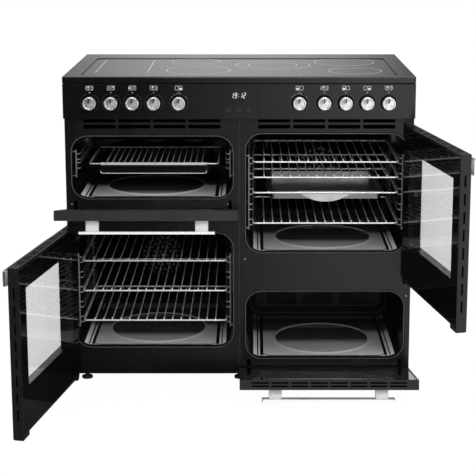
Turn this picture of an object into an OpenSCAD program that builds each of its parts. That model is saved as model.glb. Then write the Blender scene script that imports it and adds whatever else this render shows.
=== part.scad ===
// Four-door range cooker, 100 cm wide: induction hob, control fascia with ten knobs,
// drop-down grill door over a side-hinged main oven on the left, side-hinged tall oven
// over a drop-down slow oven on the right. Shown with all four doors open.
// Millimetres, +Z up, front towards -Y, floor at Z = 0.

/* [Overall size] */
// Width of the cooker
body_w = 1000; // [900:10:1200]
// Height from the floor to the hob
body_h = 910; // [860:5:1100]
// Depth from the fascia's face to the rear panel
body_d = 600; // [580:5:720]
// Height of the cabinet above the floor
foot_h = 22; // [16:1:30]
// Thickness of the sheet steel panels
sheet = 1.5; // [1.2:0.1:2]

/* [Hob] */
// Height of the hob's edge
hob_h = 22; // [18:1:30]
// Steel margin at the left and right of the glass
hob_side = 50; // [30:1:70]
// Steel margin in front of the glass
hob_front = 34; // [20:1:60]
// Steel deck behind the glass
hob_rear = 125; // [80:5:140]
// Thickness of the glass ceramic
hob_glass_t = 4; // [4:0.5:6]
// Diameter of the large centre zone
zone_d = 226; // [200:2:240]

/* [Fascia and knobs] */
// Height of the control fascia
fascia_h = 98; // [85:1:120]
// Radius of the fascia's upright front corners
fascia_r = 5; // [2:1:10]
// Diameter of a knob
knob_d = 37; // [32:1:42]
// Length of a knob
knob_l = 23; // [18:1:32]
// Distance between neighbouring knobs
knob_pitch = 60.5; // [56:0.5:62]
// Distance from the middle to the innermost knob
knob_start = 170.5; // [150:0.5:180]
// Extra distance between the innermost knob and the next
knob_extra = 10; // [0:1:14]
// Diameter of a knob's spindle
spindle_d = 6; // [5:0.5:8]
// Width of the display window
display_w = 108; // [90:1:130]
// Height of the display window
display_h = 72; // [50:1:76]

/* [Doors] */
// Thickness of a door with its outer glass
door_t = 28; // [24:1:36]
// Thickness of the outer glass
door_glass_t = 4; // [3:0.5:5]
// Height of the two tall doors
tall_door_h = 465; // [440:5:500]
// Gap between a tall and a short door
door_gap = 14; // [10:1:20]
// Gap between the fascia and the doors
vent_gap = 20; // [14:1:26]
// Gap between the doors and the floor
floor_gap = 11; // [10:1:14]
// Opening angle of the side-hinged doors
side_open = 100.4; // [80:0.1:110]
// Opening angle of the drop-down doors
drop_open = 78.5; // [60:0.5:88]
// Diameter of a side door's hinge pin
pin_d = 8; // [6:1:10]
// Diameter of a drop-down door's hinge pin
drop_pin_d = 6; // [5:1:7]
// Width of the see-through pane in a door
window_w = 390; // [300:5:400]
// Height of the see-through pane in a tall door
tall_window_h = 266; // [200:2:280]
// Height of the see-through pane in the short door
short_window_h = 140; // [100:2:160]

/* [Handles] */
// Length of a handle's bar
handle_l = 372; // [300:2:420]
// Height of a handle's bar
handle_h = 42; // [30:1:50]
// Thickness of a handle's bar
handle_t = 7; // [5:1:12]
// Gap between the bar and the door
handle_gap = 30; // [25:1:45]
// Distance between the two posts
post_pitch = 298; // [240:2:320]
// Width of a post
post_w = 36; // [20:1:40]
// Distance from the door's top to the bar's middle
handle_drop = 47; // [40:1:60]

/* [Cavities] */
// Width of each oven's mouth
mouth_w = 460; // [420:2:464]
// Corner radius of an oven's mouth
mouth_r = 45; // [30:1:60]
// Depth of the grill and slow cavities
plain_depth = 425; // [400:5:450]
// Depth of the two fan ovens behind the front frame
fan_depth = 445; // [430:5:470]
// Width of a door seal's lip
seal_w = 5; // [4:0.5:6]
// Height from a door's lower edge to the mouth, grill
grill_sill = 64; // [60:1:70]
// Height from a door's lower edge to the mouth, main oven
main_sill = 96; // [80:1:100]
// Height from a door's lower edge to the mouth, tall oven
tall_sill = 89; // [80:1:100]
// Height from a door's lower edge to the mouth, slow oven
slow_sill = 61; // [60:1:70]
// Distance from the grill door's top to the mouth
grill_head = 37; // [30:1:45]
// Distance from the main door's top to the mouth
main_head = 28; // [20:1:40]
// Distance from the tall door's top to the mouth
tall_head = 30; // [20:1:40]
// Distance from the slow door's top to the mouth
slow_head = 18; // [14:1:30]

/* [Shelves and pans] */
// Diameter of a shelf's edge bars
bar_d = 5; // [4:0.5:7]
// Diameter of the thin wires of a shelf
wire_d = 3; // [2.5:0.5:4]
// Number of thin wires on a shelf
wire_count = 15; // [9:1:17]
// Depth of a shelf
shelf_depth = 370; // [330:5:375]
// Distance between shelf levels
level_pitch = 45.4; // [40:0.2:50]
// Number of shelf levels in the two ovens
level_count = 5; // [5:1:5]
// Height of the main oven's first level above its floor
main_first = 66; // [50:1:75]
// Height of the tall oven's first level above its floor
tall_first = 74; // [50:1:80]
// Height of the grill's first level above its floor
grill_first = 82; // [70:1:88]
// Gap between the roasting tin and the side rails
tin_gap = 48; // [40:1:70]
// Depth of the roasting tin from front to back
tin_l = 300; // [260:2:320]
// Height of the roasting tin
tin_h = 22; // [18:1:30]
// Height of the grill pan
pan_h = 22; // [18:1:34]
// Number of wires on the grill rack
rack_wires = 17; // [11:1:19]

/* [Fans] */
// Diameter of a fan's rotor
rotor_d = 150; // [130:2:160]
// Number of vanes on a rotor
vane_count = 12; // [8:1:16]
// Diameter of a fan motor's shaft
shaft_d = 8; // [6:1:10]

/* [Hidden] */
$fn = 48;

// Clearances
fit = 0.05;          // radial play of a pin or shaft in its bore
play = 0.3;          // gap between neighbouring pieces
side_gap = 2;        // gap between a door's edge and the cabinet's side
front_gap = 3;       // gap between a closed door and the front frame
cut = 1;             // overshoot of a cutting shape

// Hinge positions, from a door's front face and its hinge edge
hinge_depth = 12;
hinge_edge = 10;
drop_pivot = 19;
ear_w = 8;
ear_r = 5;
ear_inset = 25;
pan_inset = 11;
pan_side = 3;
back_bevel = 6;
pin_grip = 14;
bracket_t = 2.5;
bracket_gap = 0.7;

// Main planes
swing = body_w / 2 - 2 * side_gap - hinge_edge;
side_reach = swing * sin(side_open) - hinge_depth - door_t * cos(side_open);
front_y = -(body_d - side_reach) / 2;
rear_y = front_y + body_d;
frame_y = front_y + door_t + front_gap;
frame_t = 2;
liner_y = frame_y + frame_t;
hob_z = body_h - hob_h;
fascia_z = hob_z - fascia_h;
door_top = fascia_z - vent_gap;
door_w = body_w / 2 - 2 * side_gap;
short_door_h = door_top - floor_gap - tall_door_h - door_gap;
col_x = body_w / 4;
tray_z = foot_h + sheet;

// Lower edges of the doors
grill_z = door_top - short_door_h;
main_z = floor_gap;
tall_z = door_top - tall_door_h;
slow_z = floor_gap;

// Floors and heights of the mouths
grill_floor = grill_z + grill_sill;
grill_mouth_h = short_door_h - grill_sill - grill_head;
main_floor = main_z + main_sill;
main_mouth_h = tall_door_h - main_sill - main_head;
tall_floor = tall_z + tall_sill;
tall_mouth_h = tall_door_h - tall_sill - tall_head;
slow_floor = slow_z + slow_sill;
slow_mouth_h = short_door_h - slow_sill - slow_head;

// Side racks and shelves
rail_d = 4;
rail_x = mouth_w / 2 - 19;
post_x = mouth_w / 2 - 7;
rail_lift = 16;
shelf_y = front_y + 60;
rack_back = shelf_y + shelf_depth - 8;
shelf_rise = rail_d / 2 + play + bar_d / 2;
wire_pitch = 2 * (rail_x - 32.5) / (wire_count - 1);
tin_w = 2 * (rail_x - tin_gap);
floor_step = 2.5;
floor_ring_d = mouth_w - 150;

// Fans
cover_y = shelf_y + shelf_depth + 8;
back_y = liner_y + fan_depth - sheet;
plain_back_y = liner_y + plain_depth - sheet;
cover_w = mouth_w - 60;
cover_margin = 36;
element_d = 7;
element_ring_r = rotor_d / 2 + 18;
rotor_t = 22;
rotor_y = back_y - 6;
motor_l = 56;

// Hob
glass_w = body_w - 2 * hob_side;
glass_d = body_d - hob_front - hob_rear;
glass_r = 12;
glass_y = front_y + hob_front + glass_d / 2;
glass_z = body_h - hob_glass_t - play;
coil_tray_z = hob_z + sheet + play;
coil_h = 8;

// Knobs
knob_z = fascia_z + fascia_h / 2 - 4;
switch_w = 34;
switch_d = 27;
bezel_d = 46;
bezel_t = 0.8;
fascia_t = 2.5;
fascia_d = door_t + front_gap;

// Grill pan
pan_w = 2 * (rail_x - 43);
pan_l = 305;
pan_y = front_y + 75;
pan_t = 1.5;
pan_roll_d = 5;
pan_rim_z = grill_floor + grill_first + rail_d / 2 + play;
rack_z = pan_rim_z + 6;
rack_half = rail_x - 23;
rack_pitch = 2 * (rack_half - 48) / (rack_wires - 1);

// ---------- shared shapes ----------

// box given by its six faces
module slab(x0, x1, y0, y1, z0, z1) {
  translate([x0, y0, z0]) cube([x1 - x0, y1 - y0, z1 - z0]);
}

// flat rounded rectangle about the origin
module rounded(w, h, r) {
  square([w - 2 * r, h], center = true);
  square([w, h - 2 * r], center = true);
  for (sx = [-1, 1], sy = [-1, 1]) {
    translate([sx * (w / 2 - r), sy * (h / 2 - r)]) circle(r = r);
  }
}

// outline drawn in X and Z, made t thick from y0 backwards
module facing(x, z, y0, t) {
  translate([x, y0 + t, z]) rotate([90, 0, 0]) linear_extrude(t) children();
}

module rod_x(x0, y, z, len, d) {
  translate([x0, y, z]) rotate([0, 90, 0]) cylinder(d = d, h = len);
}

module rod_y(x, y0, z, len, d) {
  translate([x, y0 + len, z]) rotate([90, 0, 0]) cylinder(d = d, h = len);
}

module rod_z(x, y, z0, len, d) {
  translate([x, y, z0]) cylinder(d = d, h = len);
}

// part of a bent bar of thickness d, turning through angle turn from angle a about (x, y)
module bend(x, y, z, r, a, turn, d) {
  translate([x, y, z]) rotate([0, 0, a]) rotate_extrude(angle = turn, $fn = 48) translate([r, 0]) circle(d = d, $fn = 24);
}

// closed rectangle of bent wire, lying flat
module wire_loop(x, half, y0, y1, z, r, d) {
  straight = d - 0.2;
  tuck = 0.4;
  for (y = [y0, y1]) {
    rod_x(x - half + r - tuck, y, z, 2 * (half - r + tuck), straight);
  }
  for (s = [-1, 1]) {
    rod_y(x + s * half, y0 + r - tuck, z, y1 - y0 - 2 * (r - tuck), straight);
  }
  bend(x + half - r, y1 - r, z, r, 0, 90, d);
  bend(x - half + r, y1 - r, z, r, 90, 90, d);
  bend(x - half + r, y0 + r, z, r, 180, 90, d);
  bend(x + half - r, y0 + r, z, r, 270, 90, d);
}

// the right-hand column is the left one mirrored
module right() {
  mirror([1, 0, 0]) children();
}

// ---------- cabinet ----------

module side_panel() {
  flange = 16;
  inner = -body_w / 2 + flange;
  y0 = frame_y + 4;
  y1 = rear_y - sheet - play;
  slab(-body_w / 2, -body_w / 2 + sheet, frame_y, y1, foot_h, hob_z);
  slab(-body_w / 2, inner, y0, y1, foot_h, tray_z);
  slab(-body_w / 2, inner, y0, y1, hob_z - sheet, hob_z);
  slab(-body_w / 2, inner, y1 - sheet, y1, foot_h, hob_z);
}

module side_panels() {
  color("#161618") {
    side_panel();
    right() side_panel();
  }
}

module rear_panel() {
  slot_w = 60;
  slot_h = 5;
  color("#8c8e90") difference() {
    slab(-body_w / 2 + play, body_w / 2 - play, rear_y - sheet, rear_y, foot_h, hob_z);
    for (s = [-1, 1], i = [0:2], j = [0:7]) {
      facing(s * col_x + (i - 1) * (slot_w + 14), hob_z - 60 - j * 14, rear_y - sheet - cut, sheet + 2 * cut)
        rounded(slot_w, slot_h, slot_h / 2 - 0.1);
    }
    for (s = [-1, 1], j = [0:4]) {
      facing(s * col_x, foot_h + 260 + j * 16, rear_y - sheet - cut, sheet + 2 * cut)
        rounded(2 * slot_w, slot_h, slot_h / 2 - 0.1);
    }
    slab(terminal_x - play, terminal_x + terminal_w + play, rear_y - sheet - cut, rear_y + cut,
      terminal_z - play, terminal_z + terminal_h + play);
  }
}

module base_tray() {
  lip = 14;
  x1 = body_w / 2 - sheet - play;
  y0 = frame_y + frame_t + play;
  y1 = rear_y - 2 * sheet - 2 * play;
  color("#8c8e90") {
    slab(-x1, x1, y0, y1, tray_z, tray_z + sheet);
    slab(-x1, x1, y0, y0 + sheet, tray_z, tray_z + lip);
  }
}

foot_d = 32;
foot_x = body_w / 2 - 45;

module levelling_feet() {
  color("#1c1c1e") {
    for (x = [-foot_x, 0, foot_x], y = [front_y + 60, rear_y - 75]) {
      rod_z(x, y, 0, 6, foot_d);
      rod_z(x, y, 5, tray_z - 5, 12);
    }
  }
}

module centre_divider() {
  color("#8c8e90") slab(-1, 1, frame_y + frame_t + sheet + 2 * play, rear_y - sheet - play, tray_z + sheet, hob_z);
}

// ---------- hob ----------

// block w wide, d deep and h high about the origin's height, with softened top edges
module softened(w, d, h, corner, edge) {
  intersection() {
    linear_extrude(h) rounded(w, d, corner);
    translate([0, d / 2 + cut, 0]) rotate([90, 0, 0]) linear_extrude(d + 2 * cut) soft_profile(w, h, edge);
    translate([-w / 2 - cut, 0, 0]) rotate([90, 0, 90]) linear_extrude(w + 2 * cut) soft_profile(d, h, edge);
  }
}

// cross-section w wide and h high with its two top corners rounded
module soft_profile(w, h, edge) {
  translate([-w / 2, 0]) square([w, h - edge]);
  translate([-w / 2 + edge, 0]) square([w - 2 * edge, h]);
  for (s = [-1, 1]) {
    translate([s * (w / 2 - edge), h - edge]) circle(r = edge);
  }
}

hob_edge_r = 4;
hob_joint = 3;
joint_in = 2.4;

module hob_frame() {
  w = body_w;
  d = body_d;
  cy = front_y + body_d / 2;
  deck = 2;
  ledge = 12;
  color("#2c2d30") {
    difference() {
      translate([0, cy, hob_z]) softened(w, d, hob_h, 6, hob_edge_r);
      translate([0, cy, hob_z + sheet]) linear_extrude(hob_h - sheet - deck) rounded(w - 2 * hob_edge_r, d - 2 * hob_edge_r, 4);
      translate([0, cy, hob_z - cut]) linear_extrude(sheet + 2 * cut) rounded(w - 60, d - 60, 8);
      translate([0, glass_y, body_h - deck - cut]) linear_extrude(deck + 2 * cut)
        rounded(glass_w + 2 * play, glass_d + 2 * play, glass_r);
      translate([0, cy, hob_z - cut]) linear_extrude(hob_joint + cut) difference() {
        square([w + 2 * cut, d + 2 * cut], center = true);
        rounded(w - 2 * joint_in, d - 2 * joint_in, 4);
      }
    }
    difference() {
      translate([0, glass_y, glass_z - deck]) linear_extrude(hob_glass_t + play + deck - 0.5)
        rounded(glass_w + 4, glass_d + 4, glass_r + 2);
      translate([0, glass_y, glass_z]) linear_extrude(hob_glass_t + 2)
        rounded(glass_w + 2 * play, glass_d + 2 * play, glass_r);
      translate([0, glass_y, glass_z - deck - cut]) linear_extrude(deck + 2 * cut)
        rounded(glass_w - 2 * ledge, glass_d - 2 * ledge, glass_r);
    }
  }
}

module hob_glass() {
  color("#0b0b0d") translate([0, glass_y, glass_z]) linear_extrude(hob_glass_t) rounded(glass_w, glass_d, glass_r);
}

// one flat coil: x, distance from the fascia's face, diameter
ZONES = [[-136, 392, 150], [-120, 157, 190], [99, 288, zone_d], [319, 367, 185], [337, 140, 155]];

module induction_coils() {
  tray_w = glass_w - 40;
  tray_l = body_d - 40;
  color("#b87333") {
    translate([0, front_y + body_d / 2, coil_tray_z]) linear_extrude(sheet)
      rounded(body_w - 30, tray_l, 10);
    for (zone = ZONES) {
      translate([zone[0], front_y + zone[1], coil_tray_z + sheet - 0.5]) linear_extrude(coil_h + 0.5) difference() {
        circle(d = zone[2] - 8);
        circle(d = 44);
      }
    }
    translate([-341, front_y + 258, coil_tray_z + sheet - 0.5]) linear_extrude(coil_h + 0.5) rounded(140, 300, 8);
  }
}

// ---------- fascia ----------

function knob_x(i) = i <= 5
  ? -knob_x(11 - i)
  : knob_start + (i > 6 ? knob_extra : 0) + (i - 6) * knob_pitch;

display_x = 0;

module control_fascia() {
  cy = front_y + fascia_d / 2 + 10;
  color("#101012") {
    difference() {
      translate([0, cy, fascia_z]) linear_extrude(fascia_h) rounded(body_w, fascia_d + 20, fascia_r);
      slab(-body_w / 2 + fascia_t, body_w / 2 - fascia_t, front_y + fascia_t, front_y + fascia_d + 30,
        fascia_z + sheet, hob_z - sheet);
      slab(-body_w / 2 - cut, body_w / 2 + cut, front_y + fascia_d, front_y + fascia_d + 30,
        fascia_z - cut, hob_z + cut);
      for (i = [1:10]) {
        rod_y(knob_x(i), front_y - cut, knob_z, fascia_t + 2 * cut, spindle_d + 4);
      }
      facing(display_x, fascia_z + fascia_h / 2 - 2, front_y - cut, fascia_t + 2 * cut)
        rounded(display_w + 2 * play, display_h + 2 * play, 4);
    }
    for (i = [1:10]) {
      facing(knob_x(i), knob_z, front_y - bezel_t, bezel_t + 0.5) difference() {
        circle(d = bezel_d);
        circle(d = knob_d + 2);
      }
    }
  }
}

module display_module() {
  z = fascia_z + fascia_h / 2 - 2;
  color("#08080a") {
    facing(display_x, z, front_y, fascia_t) rounded(display_w, display_h, 4);
    facing(display_x, z, front_y + fascia_t, 18) rounded(display_w - 4, display_h - 4, 2);
  }
}

module rotary_switches() {
  color("#d8d4c8") for (i = [1:10]) {
    difference() {
      facing(knob_x(i), knob_z, front_y + fascia_t, switch_d) rounded(switch_w, switch_w, 4);
      rod_y(knob_x(i), front_y, knob_z, fascia_t + switch_d - 3, spindle_d + 2 * fit);
    }
  }
}

module knob(i) {
  r = knob_d / 2;
  l = knob_l;
  dish = 1.2;
  color("#c9cbcd") translate([knob_x(i), front_y, knob_z]) rotate([90, 0, 0]) {
    difference() {
      translate([0, 0, 1]) rotate_extrude($fn = 72)
        polygon([[0, 0], [r - 1, 0], [r - 1, 4], [r, 6], [r, l - 2.5], [r - 1.5, l - 1], [r - 3.5, l - 1],
          [r - 5, l - 1 - dish], [0, l - 1 - dish]]);
      translate([-0.9, r * 0.28, l - dish - 0.8]) cube([1.8, r * 0.5, 4]);
    }
    translate([0, 0, -22]) cylinder(d = spindle_d, h = 26);
  }
}

// ---------- front frames ----------

// hinge bracket of a side door with its upright pin; up is 1 for the top one
module side_bracket(door_edge, pan_edge, up) {
  px = -body_w / 2 + side_gap + hinge_edge;
  py = front_y + hinge_depth;
  z0 = up > 0 ? door_edge + bracket_gap : door_edge - bracket_gap - bracket_t;
  slab(px - 7, px + 12, py - 6, frame_y + frame_t, z0, z0 + bracket_t);
  if (up > 0) {
    rod_z(px, py, pan_edge - pin_grip, z0 + bracket_t - pan_edge + pin_grip, pin_d);
  } else {
    rod_z(px, py, z0, pan_edge + pin_grip - z0, pin_d);
    slab(px - 7, px + 12, frame_y, frame_y + frame_t, z0, z0 + 30);
  }
}

// one ear of a drop-down door's hinge with its crosswise pin
module drop_ear(x, z) {
  y = front_y + hinge_depth;
  rod_x(x - ear_w / 2, y, z, ear_w, 2 * ear_r);
  slab(x - ear_w / 2, x + ear_w / 2, y, frame_y + frame_t, z - ear_r, z + ear_r);
  rod_x(x - ear_w / 2 - 7, y, z, ear_w + 14, drop_pin_d);
}

module vent_slots() {
  slot_w = (door_w - 96) / 4 - 8;
  for (i = [0:3]) {
    x = -col_x + (i - 1.5) * (slot_w + 8);
    facing(x, fascia_z - 11, frame_y - cut, frame_t + 2 * cut) rounded(slot_w, 9, 3);
    facing(x, fascia_z - 28, frame_y - cut, frame_t + 2 * cut) rounded(slot_w, 11, 3);
  }
}

// left front frame; the short and the tall door's lower edges and the two mouths are given
module front_frame(short_z, tall_edge_z, mouths, split_z) {
  ears = [-col_x - door_w / 2 + ear_inset, -col_x + door_w / 2 - ear_inset];
  difference() {
    union() {
      slab(-body_w / 2 + sheet + play, -play, frame_y, frame_y + frame_t, foot_h, fascia_z);
      side_bracket(tall_edge_z + tall_door_h, tall_edge_z + tall_door_h, 1);
      side_bracket(tall_edge_z, tall_edge_z + pan_inset, -1);
      for (x = ears) {
        drop_ear(x, short_z + drop_pivot);
      }
    }
    for (m = mouths) {
      facing(-col_x, m[0] + m[1] / 2, frame_y - cut, frame_t + 2 * cut) rounded(mouth_w, m[1], mouth_r);
    }
    vent_slots();
    for (x = ears) {
      facing(x, short_z + drop_pivot + 24, frame_y - cut, frame_t + 2 * cut) rounded(10, 26, 3);
    }
    slab(-body_w / 2 + 45, -cut, frame_y - cut, frame_y + 0.8, split_z, split_z + 2);
  }
}

module front_frame_left() {
  color("#141416") front_frame(grill_z, main_z, [[grill_floor, grill_mouth_h], [main_floor, main_mouth_h]],
    main_z + tall_door_h + 4);
}

module front_frame_right() {
  color("#141416") {
    right() front_frame(slow_z, tall_z, [[tall_floor, tall_mouth_h], [slow_floor, slow_mouth_h]], tall_z + 9);
    slab(4, col_x - mouth_w / 2 - 1, frame_y - 1, frame_y + 0.5, tall_z + 14, tall_z + 60);
  }
}

// ---------- cavities ----------

// raised floor platform with a round pressing
module floor_pressing(x, z, back) {
  y0 = liner_y + 14;
  y1 = back - 26;
  ring = floor_ring_d / 2;
  yc = y0 + 10 + ring;
  difference() {
    translate([x, (y0 + y1) / 2, z - 0.5]) linear_extrude(floor_step + 0.5)
      rounded(mouth_w - 2 * mouth_r - 10, y1 - y0, 18);
    translate([x, yc, z + 1.1]) cylinder(r = ring - 16, h = 5, $fn = 96);
  }
  translate([x, yc, z - 0.5 + floor_step]) rotate_extrude($fn = 96)
    polygon([[ring - 16, 0], [ring - 12, 2.6], [ring - 7, 2.6], [ring, 0.2], [ring, 0]]);
}

// enamelled box behind one mouth, open at the front
module cavity(x, z0, h, depth) {
  zc = z0 + h / 2;
  back = liner_y + depth;
  difference() {
    union() {
      facing(x, zc, liner_y, depth) rounded(mouth_w + 2 * sheet, h + 2 * sheet, mouth_r + sheet);
      facing(x, zc, liner_y, sheet) rounded(mouth_w + 22, h + 22, mouth_r + 11);
    }
    facing(x, zc, liner_y - cut, depth - sheet + cut) rounded(mouth_w, h, mouth_r);
    children();
  }
  floor_pressing(x, z0, back - sheet);
}

// holes in a fan oven's back for the shaft and the ring element's ends
module fan_holes(x, zc) {
  rod_y(x, back_y - cut, zc, sheet + 2 * cut, shaft_d + 8);
  for (s = [-1, 1]) {
    rod_y(x + s * 14, back_y - cut, zc - ring_drop, sheet + 2 * cut, element_d + 1);
  }
}

ring_drop = sqrt(element_ring_r * element_ring_r - 14 * 14);
grill_runs = 6;
grill_x = -(mouth_w / 2 - 80);
grill_step = -2 * grill_x / (grill_runs - 1);
grill_element_z = grill_floor + grill_mouth_h - 18;

module grill_cavity() {
  color("#1a1a1d") cavity(-col_x, grill_floor, grill_mouth_h, plain_depth) {
    for (i = [0, grill_runs - 1]) {
      rod_y(-col_x + grill_x + i * grill_step, plain_back_y - cut, grill_element_z, sheet + 2 * cut, element_d + 1);
    }
  }
}

module main_cavity() {
  color("#1a1a1d") cavity(-col_x, main_floor, main_mouth_h, fan_depth) fan_holes(-col_x, main_floor + main_mouth_h / 2);
}

module tall_cavity() {
  color("#1a1a1d") cavity(col_x, tall_floor, tall_mouth_h, fan_depth) fan_holes(col_x, tall_floor + tall_mouth_h / 2);
}

module slow_cavity() {
  zc = slow_floor + slow_mouth_h / 2;
  pad_pitch = (mouth_w - 106) / 3;
  color("#1a1a1d") {
    difference() {
      cavity(col_x, slow_floor, slow_mouth_h, plain_depth);
    }
    for (i = [-1:1]) {
      facing(col_x + i * pad_pitch, zc, plain_back_y - 1.6, 2) rounded(pad_pitch - 22, slow_mouth_h - 60, 14);
    }
  }
}

module door_seal(x, z0, h) {
  facing(x, z0 + h / 2, frame_y - front_gap + play * 2, front_gap - play * 2) difference() {
    rounded(mouth_w + 2 * seal_w, h + 2 * seal_w, mouth_r + seal_w);
    rounded(mouth_w + 1, h + 1, mouth_r + 0.5);
  }
}

module door_seals() {
  color("#3a3a3d") {
    door_seal(-col_x, grill_floor, grill_mouth_h);
    door_seal(-col_x, main_floor, main_mouth_h);
    door_seal(col_x, tall_floor, tall_mouth_h);
    door_seal(col_x, slow_floor, slow_mouth_h);
  }
}

// ---------- side racks ----------

// one wire rail that leaves the post, runs backwards and returns
module rack_rail(s, z) {
  r = 7;
  tuck = 0.4;
  x = s * rail_x;
  bx = x + s * r;
  px = s * post_x;
  for (y = [shelf_y, rack_back]) {
    rod_x(min(bx - s * tuck, px), y, z, abs(px - bx) + tuck, rail_d - 0.2);
  }
  bend(bx, shelf_y + r, z, r, s > 0 ? 180 : 270, 90, rail_d);
  bend(bx, rack_back - r, z, r, s > 0 ? 90 : 0, 90, rail_d);
  rod_y(x, shelf_y + r - tuck, z, rack_back - shelf_y - 2 * (r - tuck), rail_d - 0.2);
}

// ladder of paired rails on one wall of a cavity centred on x = 0
module side_rack(s, levels, low = 14) {
  z0 = min(levels) - low;
  z1 = max(levels) + rail_lift + 12;
  wall = s * (mouth_w / 2 - play);
  px = s * post_x;
  for (y = [shelf_y, rack_back]) {
    rod_z(px, y, z0, z1 - z0, bar_d);
    for (z = [z0 + 5, z1 - 5]) {
      rod_x(min(px, wall), y, z, abs(wall - px), rail_d);
    }
  }
  for (z = levels) {
    rack_rail(s, z);
    rack_rail(s, z + rail_lift);
  }
}

function oven_levels(z0, first) = [for (i = [0:level_count - 1]) z0 + first + i * level_pitch];

module grill_side_racks() {
  color("#c4c6c8") for (s = [-1, 1]) {
    translate([-col_x, 0, 0]) side_rack(s, [grill_floor + grill_first, grill_floor + grill_first + 26], 27);
  }
}

module oven_side_racks() {
  color("#c4c6c8") for (s = [-1, 1]) {
    translate([-col_x, 0, 0]) side_rack(s, oven_levels(main_floor, main_first));
    translate([col_x, 0, 0]) side_rack(s, oven_levels(tall_floor, tall_first));
  }
}

// ---------- heating and fans ----------

lamp_d = 40;
lamp_drop = mouth_r + lamp_d / 2 + 1;

module oven_lamp(wall_x, s, z) {
  x0 = s > 0 ? wall_x - 9 : wall_x;
  rod_x(x0, shelf_y + shelf_depth - 45, z, 9, lamp_d);
}

module oven_lamps() {
  color("#f2ead0") {
    oven_lamp(-col_x - mouth_w / 2, -1, grill_floor + grill_mouth_h - lamp_drop);
    oven_lamp(-col_x - mouth_w / 2, -1, main_floor + main_mouth_h - lamp_drop);
    oven_lamp(col_x + mouth_w / 2, 1, tall_floor + tall_mouth_h - lamp_drop);
  }
}

module grill_element() {
  y0 = liner_y + 70;
  y1 = plain_back_y - 60;
  for (i = [0:grill_runs - 1]) {
    x = -col_x + grill_x + i * grill_step;
    long = (i == 0 || i == grill_runs - 1) ? 96 : 0;
    rod_y(x, y0 - 0.4, grill_element_z, y1 - y0 + 0.8 + long, element_d - 0.3);
  }
  for (i = [0, 2, 4]) {
    bend(-col_x + grill_x + (i + 0.5) * grill_step, y0, grill_element_z, grill_step / 2, 180, 180, element_d);
  }
  for (i = [1, 3]) {
    bend(-col_x + grill_x + (i + 0.5) * grill_step, y1, grill_element_z, grill_step / 2, 0, 180, element_d);
  }
}

module ring_element(x, zc) {
  y = rotor_y - rotor_t / 2;
  translate([x, y, zc]) rotate([90, 0, 0]) rotate_extrude($fn = 72) translate([element_ring_r, 0]) circle(d = element_d);
  for (s = [-1, 1]) {
    rod_y(x + s * 14, y, zc - ring_drop, 60, element_d - 0.8);
  }
}

// hairpin under the slow oven's floor
module base_element() {
  z = slow_floor - sheet - play - element_d / 2;
  y0 = liner_y + 110;
  for (s = [-1, 1]) {
    rod_y(col_x + s * 90, y0 - 0.4, z, 240, element_d - 0.3);
  }
  bend(col_x, y0, z, 90, 180, 180, element_d);
}

module heating_elements() {
  color("#5a5a5e") {
    grill_element();
    ring_element(-col_x, main_floor + main_mouth_h / 2);
    ring_element(col_x, tall_floor + tall_mouth_h / 2);
    base_element();
  }
}

// shallow cover over a fan, with a round grille of holes and slots at its sides
module fan_cover(x, z0, h) {
  zc = z0 + h / 2;
  ch = h - 2 * cover_margin;
  depth = back_y - cover_y - play;
  difference() {
    facing(x, zc, cover_y, depth) rounded(cover_w, ch, 24);
    facing(x, zc, cover_y + sheet, depth) rounded(cover_w - 2 * sheet, ch - 2 * sheet, 24 - sheet);
    rod_y(x, cover_y - cut, zc, sheet + 2 * cut, 12);
    for (ring = [1:4], i = [0:6 * ring - 1]) {
      a = i * 60 / ring;
      rod_y(x + ring * 15 * cos(a), cover_y - cut, zc + ring * 15 * sin(a), sheet + 2 * cut, 10);
    }
    for (s = [-1, 1], j = [-1:1]) {
      facing(x + s * (cover_w / 2 - 34), zc + j * 70, cover_y - cut, sheet + 2 * cut) rounded(10, 52, 4.5);
    }
  }
}

module fan_covers() {
  color("#2a2a2d") {
    fan_cover(-col_x, main_floor, main_mouth_h);
    fan_cover(col_x, tall_floor, tall_mouth_h);
  }
}

module fan_motor(x, zc) {
  y0 = back_y + sheet + play;
  rod_y(x, y0 + 3, zc, motor_l, 80);
  facing(x, zc, y0, 3) rounded(120, 60, 8);
  rod_y(x, rotor_y - rotor_t + 4, zc, y0 - rotor_y + rotor_t, shaft_d);
}

module fan_motors() {
  color("#9a9ca0") {
    fan_motor(-col_x, main_floor + main_mouth_h / 2);
    fan_motor(col_x, tall_floor + tall_mouth_h / 2);
  }
}

// rotor: back disc, hub and slanted vanes
module fan_blades(x, zc) {
  disc_t = 1.5;
  hub_d = 24;
  translate([x, rotor_y, zc]) rotate([90, 0, 0]) difference() {
    union() {
      cylinder(d = rotor_d, h = disc_t);
      cylinder(d = hub_d, h = rotor_t - 8);
      for (i = [0:vane_count - 1]) {
        rotate([0, 0, i * 360 / vane_count]) translate([rotor_d / 2 - 34, 0, disc_t / 2]) rotate([0, 0, 18])
          translate([0, -0.6, 0]) cube([30, 1.2, rotor_t - disc_t]);
      }
    }
    translate([0, 0, -cut]) cylinder(d = shaft_d + 2 * fit, h = rotor_t + 2 * cut);
  }
}

module main_fan_blades() {
  color("#b4b6b8") fan_blades(-col_x, main_floor + main_mouth_h / 2);
}

module tall_fan_blades() {
  color("#b4b6b8") fan_blades(col_x, tall_floor + tall_mouth_h / 2);
}

// ---------- rear fittings ----------

terminal_x = body_w / 2 - 200;
terminal_w = 130;
terminal_z = foot_h + 100;
terminal_h = 90;
gland_d = 26;
gland_bore = 16;

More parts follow.
